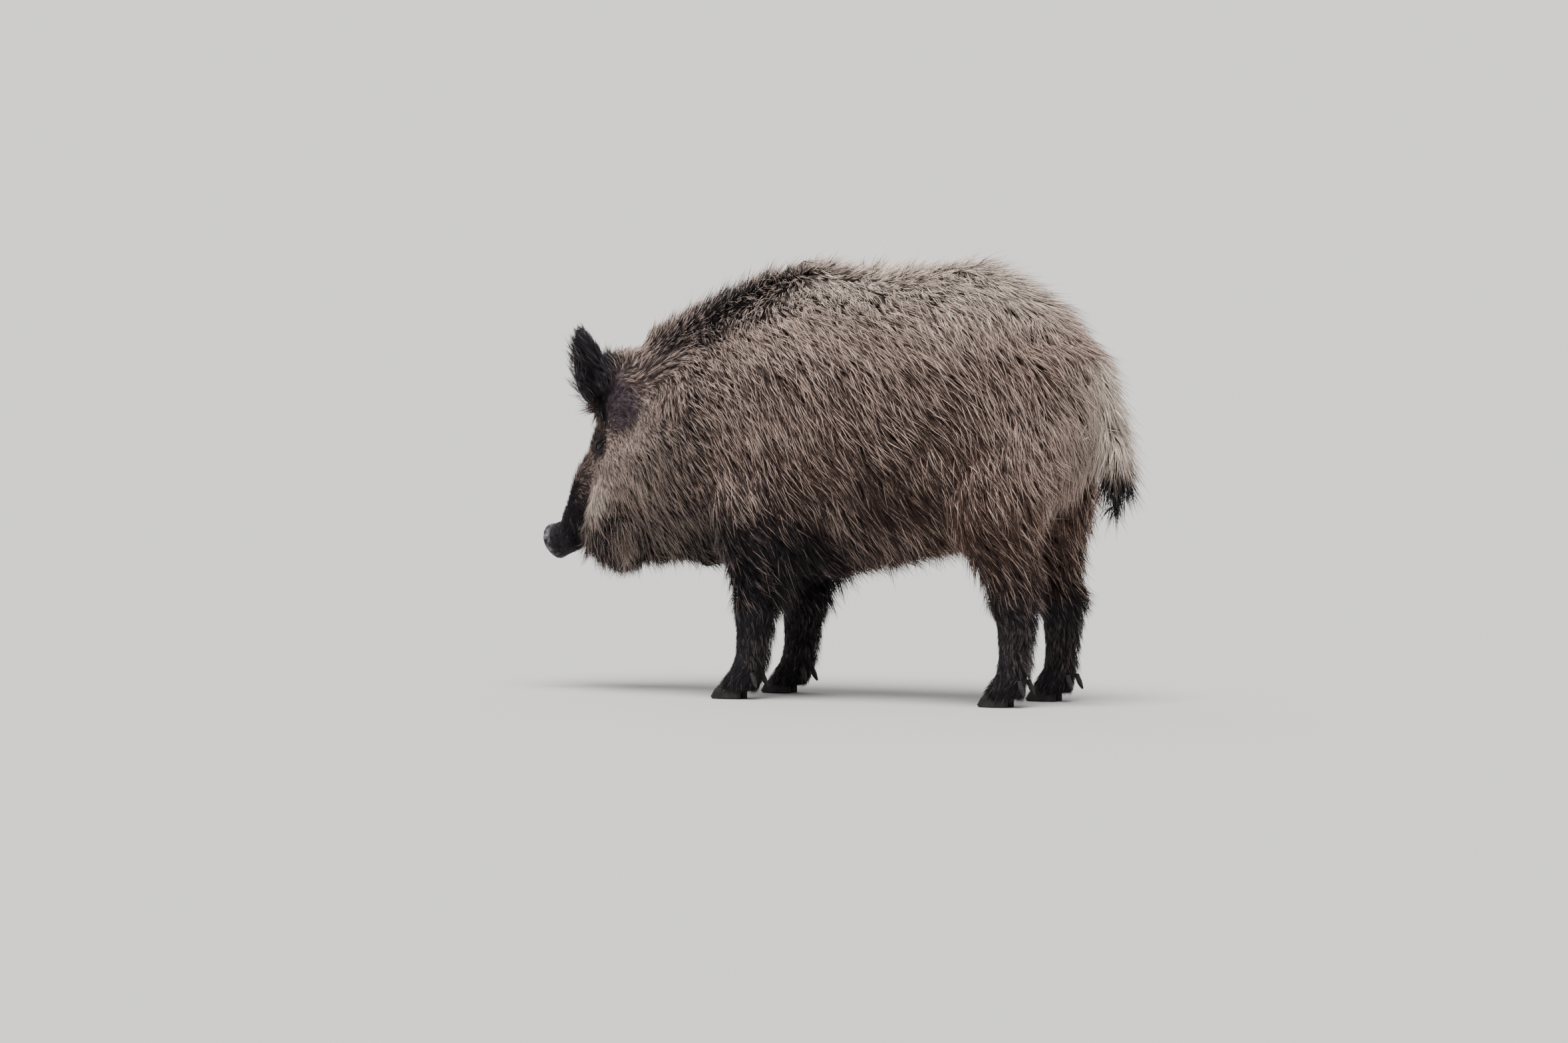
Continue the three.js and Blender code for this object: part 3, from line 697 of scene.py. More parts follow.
    # The tail is cream with a dark tip.
    brush = share_of("tail", rounds=3)
    end = np.maximum(share_of("tail_tip", rounds=3), brush * ease(z, 0.452, 0.410))
    field["pale"] = np.maximum(field["pale"], brush) * (1 - end)
    field["dark"] = np.maximum(field["dark"] * (1 - brush), end)
    field["light"] = np.maximum(field["light"], 0.95 * brush) * (1 - end)

    # Pits of the nostrils.
    pit = ease(np.hypot(np.abs(w) - NOSTRIL_OUT, (lifted - 0.002) * 0.8), 0.0085, 0.0060)
    fade(pit, disc=1)

    # The coat lies flatter where the body is widest and stops above the claws' soles.
    widest = ease(np.abs(x), 0.10, 0.15)
    add(widest, lift=-0.20)
    sides = share_of("thigh", "shoulder", "rump", "belly", "chest", rounds=30)
    add(0.0035 * widest * sides, depth=1)
    field["density"] *= ease(z, 0.010, 0.020)

    # Large soft irregularities of colour.
    add(trunk * ripple(points, 0.16, 11), dark=0.10)
    add(ripple(points, 0.045, 12), dark=0.05)
    add(trunk * ripple(points, 0.12, 13), warm=0.16)
    add(ripple(points, 0.030, 14) + ripple(points, 0.09, 15), light=0.09)
    for key in ("dark", "pale", "warm", "light"):
        field[key] = np.clip(field[key], 0, 1)
    field["length"] = np.clip(np.minimum(field["length"], (z - 0.002) / 1.6), 0.004, None)
    field["density"] = np.clip(field["density"], 0, None)
    return field


def lie_of_coat(points, normals, nodes, names, edges):
    """The way the hair lies at each point: a unit vector along the skin."""
    x, y, z = points.T
    side = np.sign(x + 1e-6)
    s, d, w = on_head(points).T
    kinds = kinds_at(nodes, names)

    def weight(*wanted, rounds=110):
        return spread(np.isin(kinds, wanted).astype(float), edges, rounds)

    way = np.zeros_like(points)

    def lay(amount, vector):
        nonlocal way
        vector = [np.broadcast_to(part, len(points)) for part in vector]
        way = way + amount[:, None] * unit(np.stack(vector, axis=1))

    def steer(amount, vector):
        nonlocal way
        way = way * (1 - amount)[:, None] + amount[:, None] * unit(vector)

    low = ease(z, 0.60, 0.38)
    top = 0.45 * side * ease(normals[:, 2], 0.2, 0.9)
    swirl = bump_at(y, -0.10, 0.15) * bump_at(z, 0.52, 0.14)
    lay(weight("neck"), (top, 0.85, -0.45 - 0.35 * low + 0.5 * ease(z, 0.55, 0.66)))
    lay(weight("chest"), (top, 1.0, -0.25 - 0.40 * low + 0.55 * swirl))
    lay(weight("belly"), (top, 0.85, -0.45 - 0.35 * low))
    lay(weight("rump"), (top, 0.62, -0.60 - 0.6 * ease(y, 0.20, 0.42)))
    lay(weight("shoulder"), (0.0, 0.55, -0.85))
    lay(weight("thigh"), (0.0, 0.35, -0.9))
    backwards = 0.15 - 0.65 * ease(z, 0.09, 0.05) + 0.85 * ease(z, 0.14, 0.24)
    lay(weight("forearm", "shank", "foot", "claw"), (0.0, backwards, -1.0))
    lay(weight("tail", "tail_tip", rounds=4), (0.0, 0.12, -1.0))

    # On the head the hair runs back over the forehead, down the cheeks and forward at the lips.
    cheek = ease(d, 0.02, -0.06)
    lips = ease(s, 0.13, 0.21)
    ahead = -1 + 1.15 * cheek + 0.55 * lips * cheek + 0.7 * ease(s, 0.26, 0.29) * cheek
    back = ahead[:, None] * HEAD_AXES[0] - (0.05 + 0.95 * cheek)[:, None] * HEAD_AXES[1]
    back = back + (0.30 * np.sign(w) * ease(np.abs(w), 0.0, 0.03))[:, None] * HEAD_AXES[2]
    steer(weight("head", "muzzle", "lower_jaw", "snout", "eye", rounds=30), back)
    for sign in SIDES.values():
        fringe = HEAD_ORIGIN + np.array([*EAR_FRINGE[:2], EAR_FRINGE[2] * sign]) @ HEAD_AXES
        away = np.linalg.norm(points - fringe, axis=1)
        steer(ease(away, 0.034, 0.018), np.array([0.15 * sign, -0.9, -0.6]))
    for eye in EYES:
        off = points - middle_of(eye)
        steer(ease(np.linalg.norm(off, axis=1), 0.040, 0.022), off - 0.012 * HEAD_AXES[0])
    for name, tip in EAR_TIPS.items():
        mine = nodes == names.index(f"ear_{name}")
        steer(spread(mine.astype(float), edges, 4), np.array(tip) @ HEAD_AXES)

    way = unit(way - (way * normals).sum(1)[:, None] * normals)
    swing = 0.30 * ripple(points, 0.055, 21) + 0.22 * ripple(points, 0.021, 22)
    cross = np.cross(normals, way)
    return unit(way * np.cos(swing)[:, None] + cross * np.sin(swing)[:, None])


# ---------- the skin ----------
SMOOTH_ROUNDS = 26
LIMB_ROUNDS = 110  # of smoothing where a limb leaves the body
COLLAR_ROUNDS = 24  # of smoothing behind the snout
SHRINK_STEPS = 6
THIN_STEPS = 10
THIN_FORCE = 10.0
SKIN_TRIANGLES = 125000
FINE_AT_EYES = ((0.026, 2), (0.0165, 1))  # reach and rounds of each division of the faces
FINE_AT_MOUTH = (0.24, 0.28)  # places along the head
MOUTH_REACH = 0.036


def grown_flesh(sizes):
    """One mesh of flesh and eyes, each grown a little so that neighbours overlap."""
    whole = bmesh.new()
    for name in FLESH + EYES:
        part = welded(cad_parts[name].data)
        grow = sizes.ear_growth if name.startswith("ear") else sizes.seam
        move_points(part, points_of(part) + grow * normals_of(part))
        whole.from_mesh(part)
        bpy.data.meshes.remove(part)
    made = bpy.data.meshes.new("flesh")
    whole.to_mesh(made)
    whole.free()
    return made


def skin_depth(points, nodes, names, edges, normals):
    """How far the skin lies inside the coat's tips."""
    field = coat_fields(points, normals, nodes, names, edges)
    return spread(np.clip(field["depth"], 0.0002, None), edges, 12)


def shrink(mesh, finder):
    """Smooths the facets away and moves the surface inwards by the coat's depth."""
    points, edges = points_of(mesh), edges_of(mesh)
    nodes = finder.nodes_at(points)
    kinds = kinds_at(nodes, finder.names)
    sharp = np.isin(kinds, ("claw", "ear", "snout", "eye"))
    weights = spread(np.where(sharp, 0.35, 1.0), edges, 4)
    depth = skin_depth(points, nodes, finder.names, edges, normals_of(mesh))
    points = relax(points, edges, SMOOTH_ROUNDS, weights)
    deep = ease(depth, 0.006, 0.02)
    for _ in range(SHRINK_STEPS):
        move_points(mesh, points)
        points = points - normals_of(mesh) * (depth / SHRINK_STEPS)[:, None]
        points = relax(points, edges, 3, deep, push=0)
    points = relax(points, edges, 4, np.where(sharp, 0.2, 0.8))
    for limb in ("thigh", "shoulder"):
        share = spread((kinds == limb).astype(float), edges, 90)
        points = relax(points, edges, LIMB_ROUNDS, np.clip(5 * share * (1 - share), 0, 1), push=0)
    s, d, _ = on_head(points).T
    front = np.isin(kinds, ("muzzle", "snout", "lower_jaw", "head"))
    collar = bump_at(on_snout(s, d)[0], -0.022, 0.020) * front
    points = relax(points, edges, COLLAR_ROUNDS, spread(collar, edges, 3), push=0)
    move_points(mesh, points)
    return deep


def thin_out(mesh, deep):
    """Fewer, larger faces where long hair hides the skin."""
    share_kept = SKIN_TRIANGLES / triangle_count(mesh)

    def decimate(held):
        group = held.vertex_groups.new(name="thinned")
        for step in range(1, THIN_STEPS + 1):
            chosen = np.flatnonzero(np.round(deep * THIN_STEPS).astype(int) == step)
            group.add(chosen.tolist(), step / THIN_STEPS, "REPLACE")
        modifier = held.modifiers.new("thin", "DECIMATE")
        modifier.ratio = share_kept
        modifier.vertex_group = "thinned"
        modifier.vertex_group_factor = THIN_FORCE

    return evaluated_mesh(mesh, decimate)


def refined(mesh, centre, reach, rounds=1):
    """The mesh with the faces round a place divided."""
    centre = Vector(centre)

    def divide(work):
        for _ in range(rounds):
            near = {v for v in work.verts if (v.co - centre).length < reach}
            edges = [e for e in work.edges if e.verts[0] in near and e.verts[1] in near]
            bmesh.ops.subdivide_edges(work, edges=edges, cuts=1, use_grid_fill=True)
            bmesh.ops.triangulate(work, faces=[f for f in work.faces if len(f.verts) > 4])

    return changed(mesh, divide)


def shape_lids(points, sizes):
    """Draws the skin over each eyeball as an upper and a lower lid."""
    for side, way in SIDES.items():
        along, up, out, opening = round_eye(points, side)
        reach = np.hypot(along, up)
        ball = EYE_RADIUS + sizes.lid
        lid = np.sqrt(np.clip(ball**2 - np.minimum(reach, ball * 0.93) ** 2, 0, None))
        fold = sizes.lid * 1.1 * bump_at(opening, 1.0, 0.5) * (up > 0)
        lid = lid - fold + sizes.lid * 0.4 * bump_at(opening, 0.12, 0.3)
        inside = np.sqrt(np.clip((EYE_RADIUS * 0.86) ** 2 - reach**2, 0, None))
        target = np.where(opening > 0, lid, inside)
        share = ease(reach, ball * LID_REACH, ball * 0.92) * (out > -0.2 * EYE_RADIUS)
        near = (np.abs(out) < 0.04) & (reach < ball * LID_REACH)
        change = np.where(near, share * (target - out), 0)
        points = points + (way * change)[:, None] * HEAD_AXES[2]
    return points


MOUTH_LEVEL = -0.071
MOUTH_BACK = 0.212
MOUTH_FRONT = 0.318


def shape_mouth(points, normals, sizes):
    """Presses the line between the lips into the skin."""
    s, d, w = on_head(points).T
    level = MOUTH_LEVEL + 0.010 * ease(s, 0.26, MOUTH_BACK) + 0.006 * ease(s, 0.29, MOUTH_FRONT)
    length_share = ease(s, MOUTH_BACK - 0.012, MOUTH_BACK + 0.012)
    length_share *= ease(s, MOUTH_FRONT, MOUTH_FRONT - 0.008)
    on_side = ease(np.abs(w), 0.004, 0.012)
    groove = np.exp(-(((d - level) / 0.0026) ** 2))
    lips = np.exp(-(((d - level) / 0.0080) ** 2)) - groove
    press = sizes.mouth * groove - 0.0014 * lips
    return points - normals * (press * length_share * on_side)[:, None]


def write_fields(mesh, field, lie):
    for key in COAT_FIELDS[1:] + SKIN_FIELDS:
        store(mesh, key, field[key])
    store(mesh, "lie", lie, "FLOAT_VECTOR")


def unwrap(mesh):
    """Lays the skin's own shape out on its map."""
    mesh.uv_layers.new(name="OFBake")
    held = bpy.data.objects.new("held", mesh)
    bpy.context.scene.collection.objects.link(held)
    bpy.context.view_layer.objects.active = held
    held.select_set(True)
    bpy.ops.object.mode_set(mode="EDIT")
    bpy.ops.mesh.select_all(action="SELECT")
    bpy.ops.uv.smart_project(angle_limit=math.radians(66), island_margin=0.002)
    bpy.ops.object.mode_set(mode="OBJECT")
    bpy.data.objects.remove(held)


def make_skin_mesh(sizes):
    finder = Finder()
    mesh = in_cells(grown_flesh(sizes), sizes.voxel)
    deep = shrink(mesh, finder)
    mesh = thin_out(mesh, deep)
    for eye in EYES:
        for reach, rounds in FINE_AT_EYES:
            mesh = refined(mesh, middle_of(eye), reach, rounds)
    for place in FINE_AT_MOUTH:
        centre = HEAD_ORIGIN + np.array([place, MOUTH_LEVEL, 0]) @ HEAD_AXES
        mesh = refined(mesh, centre, MOUTH_REACH)
    points = shape_lids(points_of(mesh), sizes)
    move_points(mesh, points)
    points = shape_mouth(points, normals_of(mesh), sizes)
    move_points(mesh, points)
    nodes = finder.nodes_at(points)
    edges, normals = edges_of(mesh), normals_of(mesh)
    field = coat_fields(points, normals, nodes, finder.names, edges)
    write_fields(mesh, field, lie_of_coat(points, normals, nodes, finder.names, edges))
    store(mesh, "node", nodes, "INT")
    mesh.shade_smooth()
    unwrap(mesh)
    return mesh, finder.names


def hair_colour(finish, colours, along, tone):
    """The coat's colour from its markings, along the hair and from lock to lock."""
    marks = ("dark", "pale", "warm", "light", "deep")
    dark, pale, warm, light, deep = (finish.attribute(name) for name in marks)
    lit = ((tone - (1 - light)) * 7).clamped()
    reach = ((along - 0.22) * 1.6).clamped()
    plain = finish.multiply(colours.hair, finish.mix(grey(0.55), grey(1.35), light))
    body = finish.mix(plain, colours.warm, (warm * (0.5 + 0.9 * tone)).clamped())
    warm_tip = finish.mix(colours.tip, colours.warm, 0.5, "MULTIPLY")
    light_tip = finish.mix(colours.tip, warm_tip, warm * 0.8)
    shade = finish.mix(body, light_tip, reach * lit)
    cream = finish.mix(colours.hair, colours.pale, (0.45 + 0.9 * along).clamped())
    shade = finish.mix(shade, cream, (pale * (0.55 + 0.9 * tone)).clamped())
    # Painted sheen: short dark hair gets bluish-grey tips, long dark hair gets the tan tips
    # instead.
    sheen = finish.mix((0.078, 0.075, 0.103, 1), colours.tip, deep)
    black = finish.mix(colours.dark, sheen, along * along * lit * 0.8)
    shade = finish.mix(shade, black, (dark * (1.3 - 0.5 * tone)).clamped())
    foot = ((0.42 - along) * 2.4).clamped() * deep
    shade = finish.mix(shade, colours.root, foot * (1 - 0.6 * pale))
    return finish.multiply(shade, finish.mix(grey(0.42), grey(1.30), tone))


SKIN_MARKS = ("bare", "disc", "ear", "deep", "lid", "rim")


def skin_finish(colours):
    finish = Finish("short coat and skin")
    down = finish.noise(0.0022, 4.0, (1.0, 1.0, 0.16), 0.65)
    back = finish.noise(0.0020, 4.0, (1.0, 1.0, 0.18), 0.65, (HEAD_DROP - math.pi / 2, 0, 0))
    streak = down + (back - down) * finish.attribute("skull")
    patch = finish.noise(0.014, 3.0)
    fur = hair_colour(finish, colours, 0.12 + 0.55 * streak, 0.25 * patch + 0.75 * streak)
    bare, disc, ear, deep, lid, rim = (finish.attribute(name) for name in SKIN_MARKS)
    fur = finish.mix(fur, colours.ear, ear * 0.75)
    lids = finish.multiply(colours.ear, finish.mix(grey(0.45), grey(0.85), patch))
    fur = finish.mix(fur, lids, lid * 0.9)
    fur = finish.mix(fur, finish.multiply(colours.dark, grey(0.5)), rim)
    # Painted shadow: the skin under the long coat takes the roots' dark colour.
    fur = finish.mix(fur, colours.root, deep * 0.85)
    grime = finish.noise(0.009, 6.0)
    wander = finish.noise(0.00625, 3.0, rough=0.5, output=1)
    crease = (finish.cracks(0.0034, wander) * 5.0).clamped()
    pores = finish.noise(0.0009, 3.0)
    dry = ((grime - 0.38) * 3.2).clamped() * disc
    mud = finish.mix(finish.multiply(colours.dark, grey(0.8)), colours.root, grime)
    cracked = finish.multiply(colours.snout, grey(0.45))
    crazed = finish.mix(cracked, colours.snout, (crease + 0.3 * pores).clamped())
    snout = finish.mix(mud, crazed, dry)
    base = finish.mix(fur, snout, bare)
    wrinkle = finish.noise(0.0045, 3.0, (0.22, 0.5, 1.0), 0.5, (HEAD_DROP - math.pi / 2, 0, 0))
    rugged = 0.30 * crease * disc + 0.9 * grime + 0.2 * pores + 1.2 * wrinkle
    height = (1 - bare) * streak + bare * rugged
    return finish.shade({
        "Base Color": base,
        "Roughness": 0.74 - 0.12 * bare * disc,
        "Normal": finish.bump(height, 0.0020, 0.7),
        "Specular IOR Level": 0.2,
    })


def coat_finish(colours):
    finish = Finish("coat")
    along, strand, lock = (finish.attribute(name) for name in ("along", "strand", "tone"))
    tone = (lock * 0.44 + strand * 0.70 - 0.07).clamped()
    streak = finish.noise(0.004, 2.0)
    base = hair_colour(finish, colours, along, tone)
    base = finish.multiply(base, finish.mix(grey(0.72), grey(1.18), streak))
    return finish.shade({
        "Base Color": base,
        "Roughness": 0.52 + 0.18 * streak,
        "Specular IOR Level": 0.22,
    })


# ---------- the coat ----------
TUFT_SHAPES = 6
TUFT_STRANDS = 5
PATCH = 0.003  # side of a tuft's patch on the map
STRAND_SIDES = 3
STRAND_WAIST = 0.40  # how far along a strand it is widest
STRAND_WIDTH = 0.155
STRAND_THICKNESS = 0.011


def strand_path(t, reach, lift, settle, sway):
    """A place on a strand that rises at its root and settles towards the skin."""
    angle = lift + (settle - lift) * np.linspace(0, t, 9)
    run, rise = reach * t * np.cos(angle).mean(), reach * t * np.sin(angle).mean()
    return np.array([sway * t * t, run, rise])


def tuft_mesh(index, draw):
    """A lock of a few closed spindles, one unit long, lying along Y and rising along Z."""
    corners, faces, along, strand, patch = [], [], [], [], []
    for k in range(TUFT_STRANDS):
        root = np.array([(k + 0.5) / TUFT_STRANDS - 0.5, draw.uniform(-0.09, 0.09), -0.01])
        root[0] += draw.uniform(-0.08, 0.08)
        guard = k == index % TUFT_STRANDS
        reach = draw.uniform(1.15, 1.32) if guard else draw.uniform(0.68, 1.08)
        lift = math.radians(draw.uniform(30, 52))
        settle = math.radians(draw.uniform(-8, 14))
        sway = -root[0] * draw.uniform(0.35, 0.95) + draw.uniform(-0.16, 0.16)
        tone = draw.uniform()
        start = len(corners)
        turn = draw.uniform(0, 2 * math.pi)
        angle = lift + (settle - lift) * STRAND_WAIST
        waist = root + strand_path(STRAND_WAIST, reach, lift, settle, sway)
        corners.append(root)
        for j in range(STRAND_SIDES):
            around = turn + 2 * math.pi * j / STRAND_SIDES
            wide = math.cos(around) * STRAND_WIDTH / 2
            thick = math.sin(around) * STRAND_THICKNESS
            corners.append(waist + (wide, -math.sin(angle) * thick, math.cos(angle) * thick))
        corners.append(root + strand_path(1.0, reach, lift, settle, sway))
        along += [0.0] + [STRAND_WAIST] * STRAND_SIDES + [1.0]
        strand += [tone] * (STRAND_SIDES + 2)
        for j in range(STRAND_SIDES):
            n = (j + 1) % STRAND_SIDES
            left, right = ((k + edge / STRAND_SIDES) / TUFT_STRANDS for edge in (j, j + 1))
            middle = (left + right) / 2
            faces.append((start, start + 1 + n, start + 1 + j))
            patch.append([(middle, 0), (right, STRAND_WAIST), (left, STRAND_WAIST)])
            faces.append((start + 1 + j, start + 1 + n, start + 1 + STRAND_SIDES))
            patch.append([(left, STRAND_WAIST), (right, STRAND_WAIST), (middle, 1)])

    def lay_out(work):
        layer = work.loops.layers.uv.new("patch")
        for face, places in zip(work.faces, patch):
            for loop, spot in zip(face.loops, places):
                loop[layer].uv = (spot[0] - 0.5, spot[1] - 0.5)
        bmesh.ops.recalc_face_normals(work, faces=work.faces)

    loose = bpy.data.meshes.new("strands")
    loose.from_pydata([tuple(corner) for corner in corners], [], faces)
    mesh = changed(loose, lay_out, f"tuft_{index}")
    store(mesh, "along", along)
    store(mesh, "strand", strand)
    mesh.shade_smooth()
    return mesh


def tuft_collection(seed):
    draw = np.random.default_rng(seed)
    collection = bpy.data.collections.new("tufts")
    for index in range(TUFT_SHAPES):
        mesh = tuft_mesh(index, draw)
        collection.objects.link(bpy.data.objects.new(mesh.name, mesh))
    return collection


EVENNESS = 0.60  # least distance between two locks, in the mean distance at full density
SURPLUS = 1.9  # places tried for each lock kept
TUFT_SEED = 7
GROWTH_SEED = 100


class Growth(Nodes):
    """Geometry Nodes that grow tufts on a surface."""

    INPUTS = {
        "Skin": "Geometry",
        "Tufts": "Collection",
        "Most": "Float",
        "Share": "Float",
        "Lock Width": "Float",
        "Seed": "Int",
        "Finish": "Material",
    }

    def __init__(self):
        self.tree = bpy.data.node_groups.new("grow tufts", "GeometryNodeTree")
        self.sockets = {}
        new_socket = self.tree.interface.new_socket
        for name, kind in self.INPUTS.items():
            item = new_socket(name, in_out="INPUT", socket_type=f"NodeSocket{kind}")
            self.sockets[name] = item.identifier
        new_socket("Coat", in_out="OUTPUT", socket_type="NodeSocketGeometry")
        self.given = self.node("NodeGroupInput").outputs
        self.build()

    def out(self, kind, settings=None, values=None, output=0):
        return self.node(kind, settings, values).outputs[output]

    def named(self, name, kind="FLOAT"):
        return self.out("GeometryNodeInputNamedAttribute", {"data_type": kind}, {"Name": name})

    def maths(self, operation, a, b):
        return self.out("ShaderNodeMath", {"operation": operation}, {0: a, 1: b})

    def random(self, low, high, seed_step, kind="FLOAT"):
        first, output = {"FLOAT": (2, 1), "INT": (4, 2)}[kind]
        seed = self.maths("ADD", self.given["Seed"], seed_step)
        values = {"Seed": seed, first: low, first + 1: high}
        return self.out("FunctionNodeRandomValue", {"data_type": kind}, values, output)

    def stored(self, geometry, name, value, kind="FLOAT", domain="POINT"):
        settings = {"data_type": kind, "domain": domain}
        values = {"Geometry": geometry, "Name": name, "Value": value}
        return self.out("GeometryNodeStoreNamedAttribute", settings, values)

    def build(self):
        most = self.maths("MULTIPLY", self.given["Most"], self.given["Share"])
        evenly = {"distribute_method": "POISSON"}
        scatter = self.node("GeometryNodeDistributePointsOnFaces", evenly, {
            "Mesh": self.given["Skin"],
            "Distance Min": self.maths("DIVIDE", EVENNESS, self.maths("SQRT", most, 0.0)),
            "Density Max": self.maths("MULTIPLY", most, SURPLUS),
            "Density Factor": self.maths("DIVIDE", self.named("density"), self.given["Most"]),
            "Seed": self.given["Seed"],
        })
        axes = {"primary_axis": "Z", "secondary_axis": "Y"}
        facing = self.out("FunctionNodeAxesToRotation", axes, {
            "Primary Axis": scatter.outputs["Normal"],
            "Secondary Axis": self.named("lie", "FLOAT_VECTOR"),
        })
        tilt = self.out("ShaderNodeCombineXYZ", {}, {
            "X": self.maths("ADD", self.named("lift"), self.random(-0.16, 0.14, 2)),
            "Y": self.random(-0.18, 0.18, 3),
            "Z": self.random(-0.32, 0.32, 4),
        })
        local = self.out("FunctionNodeEulerToRotation", {}, {"Euler": tilt})
        turns = {"Rotation": facing, "Rotate By": local}
        turned = self.out("FunctionNodeRotateRotation", {"rotation_space": "LOCAL"}, turns)
        tall = self.maths("MULTIPLY", self.named("length"), self.random(0.78, 1.18, 5))
        wide = self.maths("MULTIPLY", self.named("width"), self.given["Lock Width"])
        wide = self.maths("MULTIPLY", wide, self.random(0.7, 1.3, 6))
        tufts = self.out("GeometryNodeCollectionInfo", {}, {
            "Collection": self.given["Tufts"],
            "Separate Children": True,
            "Reset Children": True,
        })
        placed = self.out("GeometryNodeInstanceOnPoints", {}, {
            "Points": self.stored(scatter.outputs["Points"], "tone", self.random(0.0, 1.0, 1)),
            "Instance": tufts,
            "Pick Instance": True,
            "Instance Index": self.random(0, TUFT_SHAPES - 1, 7, "INT"),
            "Rotation": turned,
            "Scale": self.out("ShaderNodeCombineXYZ", {}, {"X": wide, "Y": tall, "Z": tall}),
        })
        solid = self.out("GeometryNodeRealizeInstances", {}, {"Geometry": placed})
        spot = self.out("ShaderNodeVectorMath", {"operation": "MULTIPLY_ADD"}, {
            0: self.named("patch", "FLOAT_VECTOR"),
            1: (PATCH,) * 3,
            2: self.named("root_place", "FLOAT_VECTOR"),
        })
        mapped = self.stored(solid, "OFBake", spot, "FLOAT2", "CORNER")
        coloured = {"Geometry": mapped, "Material": self.given["Finish"]}
        self.node("NodeGroupOutput", {}, {0: self.out("GeometryNodeSetMaterial", {}, coloured)})

    def grow(self, ground, values):
        def add(held):
            modifier = held.modifiers.new("growth", "NODES")
            modifier.node_group = self.tree
            for name, value in values.items():
                modifier[self.sockets[name]] = value

        return evaluated_mesh(ground, add)


def ground_mesh(skin, chosen):
    """The skin's faces of one region, with what the tufts read."""

    def keep(work):
        spare = [face for face, kept in zip(work.faces, chosen) if not kept]
        bmesh.ops.delete(work, geom=spare, context="FACES")

    made = changed(skin, keep, "ground")
    made.uv_layers["OFBake"].name = "root_place"
    return made


def coat_regions(skin, names):
    """For each coat piece the faces of the skin that it grows on."""
    centres = get(skin.polygons, "center", 3)
    corners = get(skin.loops, "vertex_index", kind=np.int32)
    first = corners[get(skin.polygons, "loop_start", kind=np.int32)]
    nodes = get(skin.attributes["node"].data, "value", kind=np.int32)[first]
    kinds = kinds_at(nodes, names)
    regions = {}

    def halve(piece, mine, left):
        regions[f"coat_{piece}_left"] = mine & left
        regions[f"coat_{piece}_right"] = mine & ~left

    for kind in ("neck", "chest", "belly", "rump"):
        halve(kind, kinds == kind, centres[:, 0] > 0)
    skull = np.isin(kinds, ("head", "muzzle", "lower_jaw", "snout"))
    halve("head", skull, on_head(centres)[:, 2] > 0)
    regions["coat_ears"] = kinds == "ear"
    regions["coat_tail"] = np.isin(kinds, ("tail", "tail_tip"))
    for end in ("foreleg", "hind_leg"):
        regions[f"coat_{end}s"] = np.array([name.startswith(end) for name in names])[nodes]
    return regions


SPARE_ATTRIBUTES = (  # what the finished coat doesn't need
    "patch", "root_place", "node", "lie", "length", "density", "lift", "width",
    "ear", "bare", "disc", "skull", "lid", "rim",
)


# ---------- eyes and claws ----------
def eye_mesh(side, way):
    """An eyeball with a raised cornea and an iris that looks forward and out."""

    def ball(work):
        bmesh.ops.create_uvsphere(work, u_segments=48, v_segments=32, radius=1.0)

    mesh = changed(bpy.data.meshes.new("ball"), ball, "eye")
    points = points_of(mesh)
    off = np.where(points[:, 2] > 0, np.hypot(points[:, 0], points[:, 1]), 1.0)
    points *= EYE_RADIUS * (1.0 + 0.045 * ease(off, 0.70, 0.25))[:, None]
    gaze = Vector(unit(np.array([0.30, 0.04, 0.95 * way]) @ HEAD_AXES))
    turn = np.array(Vector((0, 0, 1)).rotation_difference(gaze).to_matrix())
    move_points(mesh, points @ turn.T + middle_of(f"eye_{side}"))
    store(mesh, "iris", ease(off, 0.84, 0.78))
    store(mesh, "pupil", ease(off, 0.34, 0.28))
    mesh.shade_smooth()
    return mesh


def eye_finish(colours):
    finish = Finish("eye")
    iris, pupil = finish.attribute("iris"), finish.attribute("pupil")
    fibres = finish.noise(0.0011, 4.0)
    veins = finish.noise(0.004, 5.0)
    white = finish.ramp(veins, ((0.3, (0.020, 0.011, 0.010, 1)), (0.7, (0.060, 0.042, 0.036, 1))))
    brown = finish.multiply(colours.iris, finish.mix(grey(0.5), grey(1.5), fibres))
    base = finish.mix(finish.mix(white, brown, iris), (0.002, 0.002, 0.002, 1), pupil)
    return finish.shade({
        "Base Color": base,
        "Roughness": 0.06 + 0.05 * veins,
        "Coat Weight": 0.15,
        "Coat Roughness": 0.05,
        "IOR": 1.38,
    })


CLAW_CELL = 0.0011
CLAW_ROUNDS = 60
CLAW_PUSH = -0.49
TOE_LENGTH = 0.016  # the part of a claw behind its point that is rounded
TOE_ROUND = 0.0035  # how far the toe's point is drawn back and lifted
RING_DEPTH = 0.00018
RING_SPACING = 0.0042


def claw_mesh(name):
    """The claw's solid made smooth and ringed, with its sole still flat on the floor."""
    mesh = in_cells(welded(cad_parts[name].data), CLAW_CELL)
    points = points_of(mesh)
    low = points[:, 2].min()
    points = relax(points, edges_of(mesh), CLAW_ROUNDS, np.ones(len(points)), push=CLAW_PUSH)
    tip = points[:, 1].min()
    toe = ease(points[:, 1], tip + TOE_LENGTH, tip)
    points += TOE_ROUND * toe[:, None] ** 2 * (0, 1, 1)
    turns = points[:, 2] / RING_SPACING * 2 * math.pi + 3 * ripple(points, 0.03, 5)
    rings = RING_DEPTH * np.sin(turns) * ease(points[:, 2], low + 0.003, low + 0.008)
    move_points(mesh, points)
    points = points + normals_of(mesh) * rings[:, None]
    points[:, 2] = np.maximum(points[:, 2], low)
    move_points(mesh, points)
    mesh.shade_smooth()
    return mesh


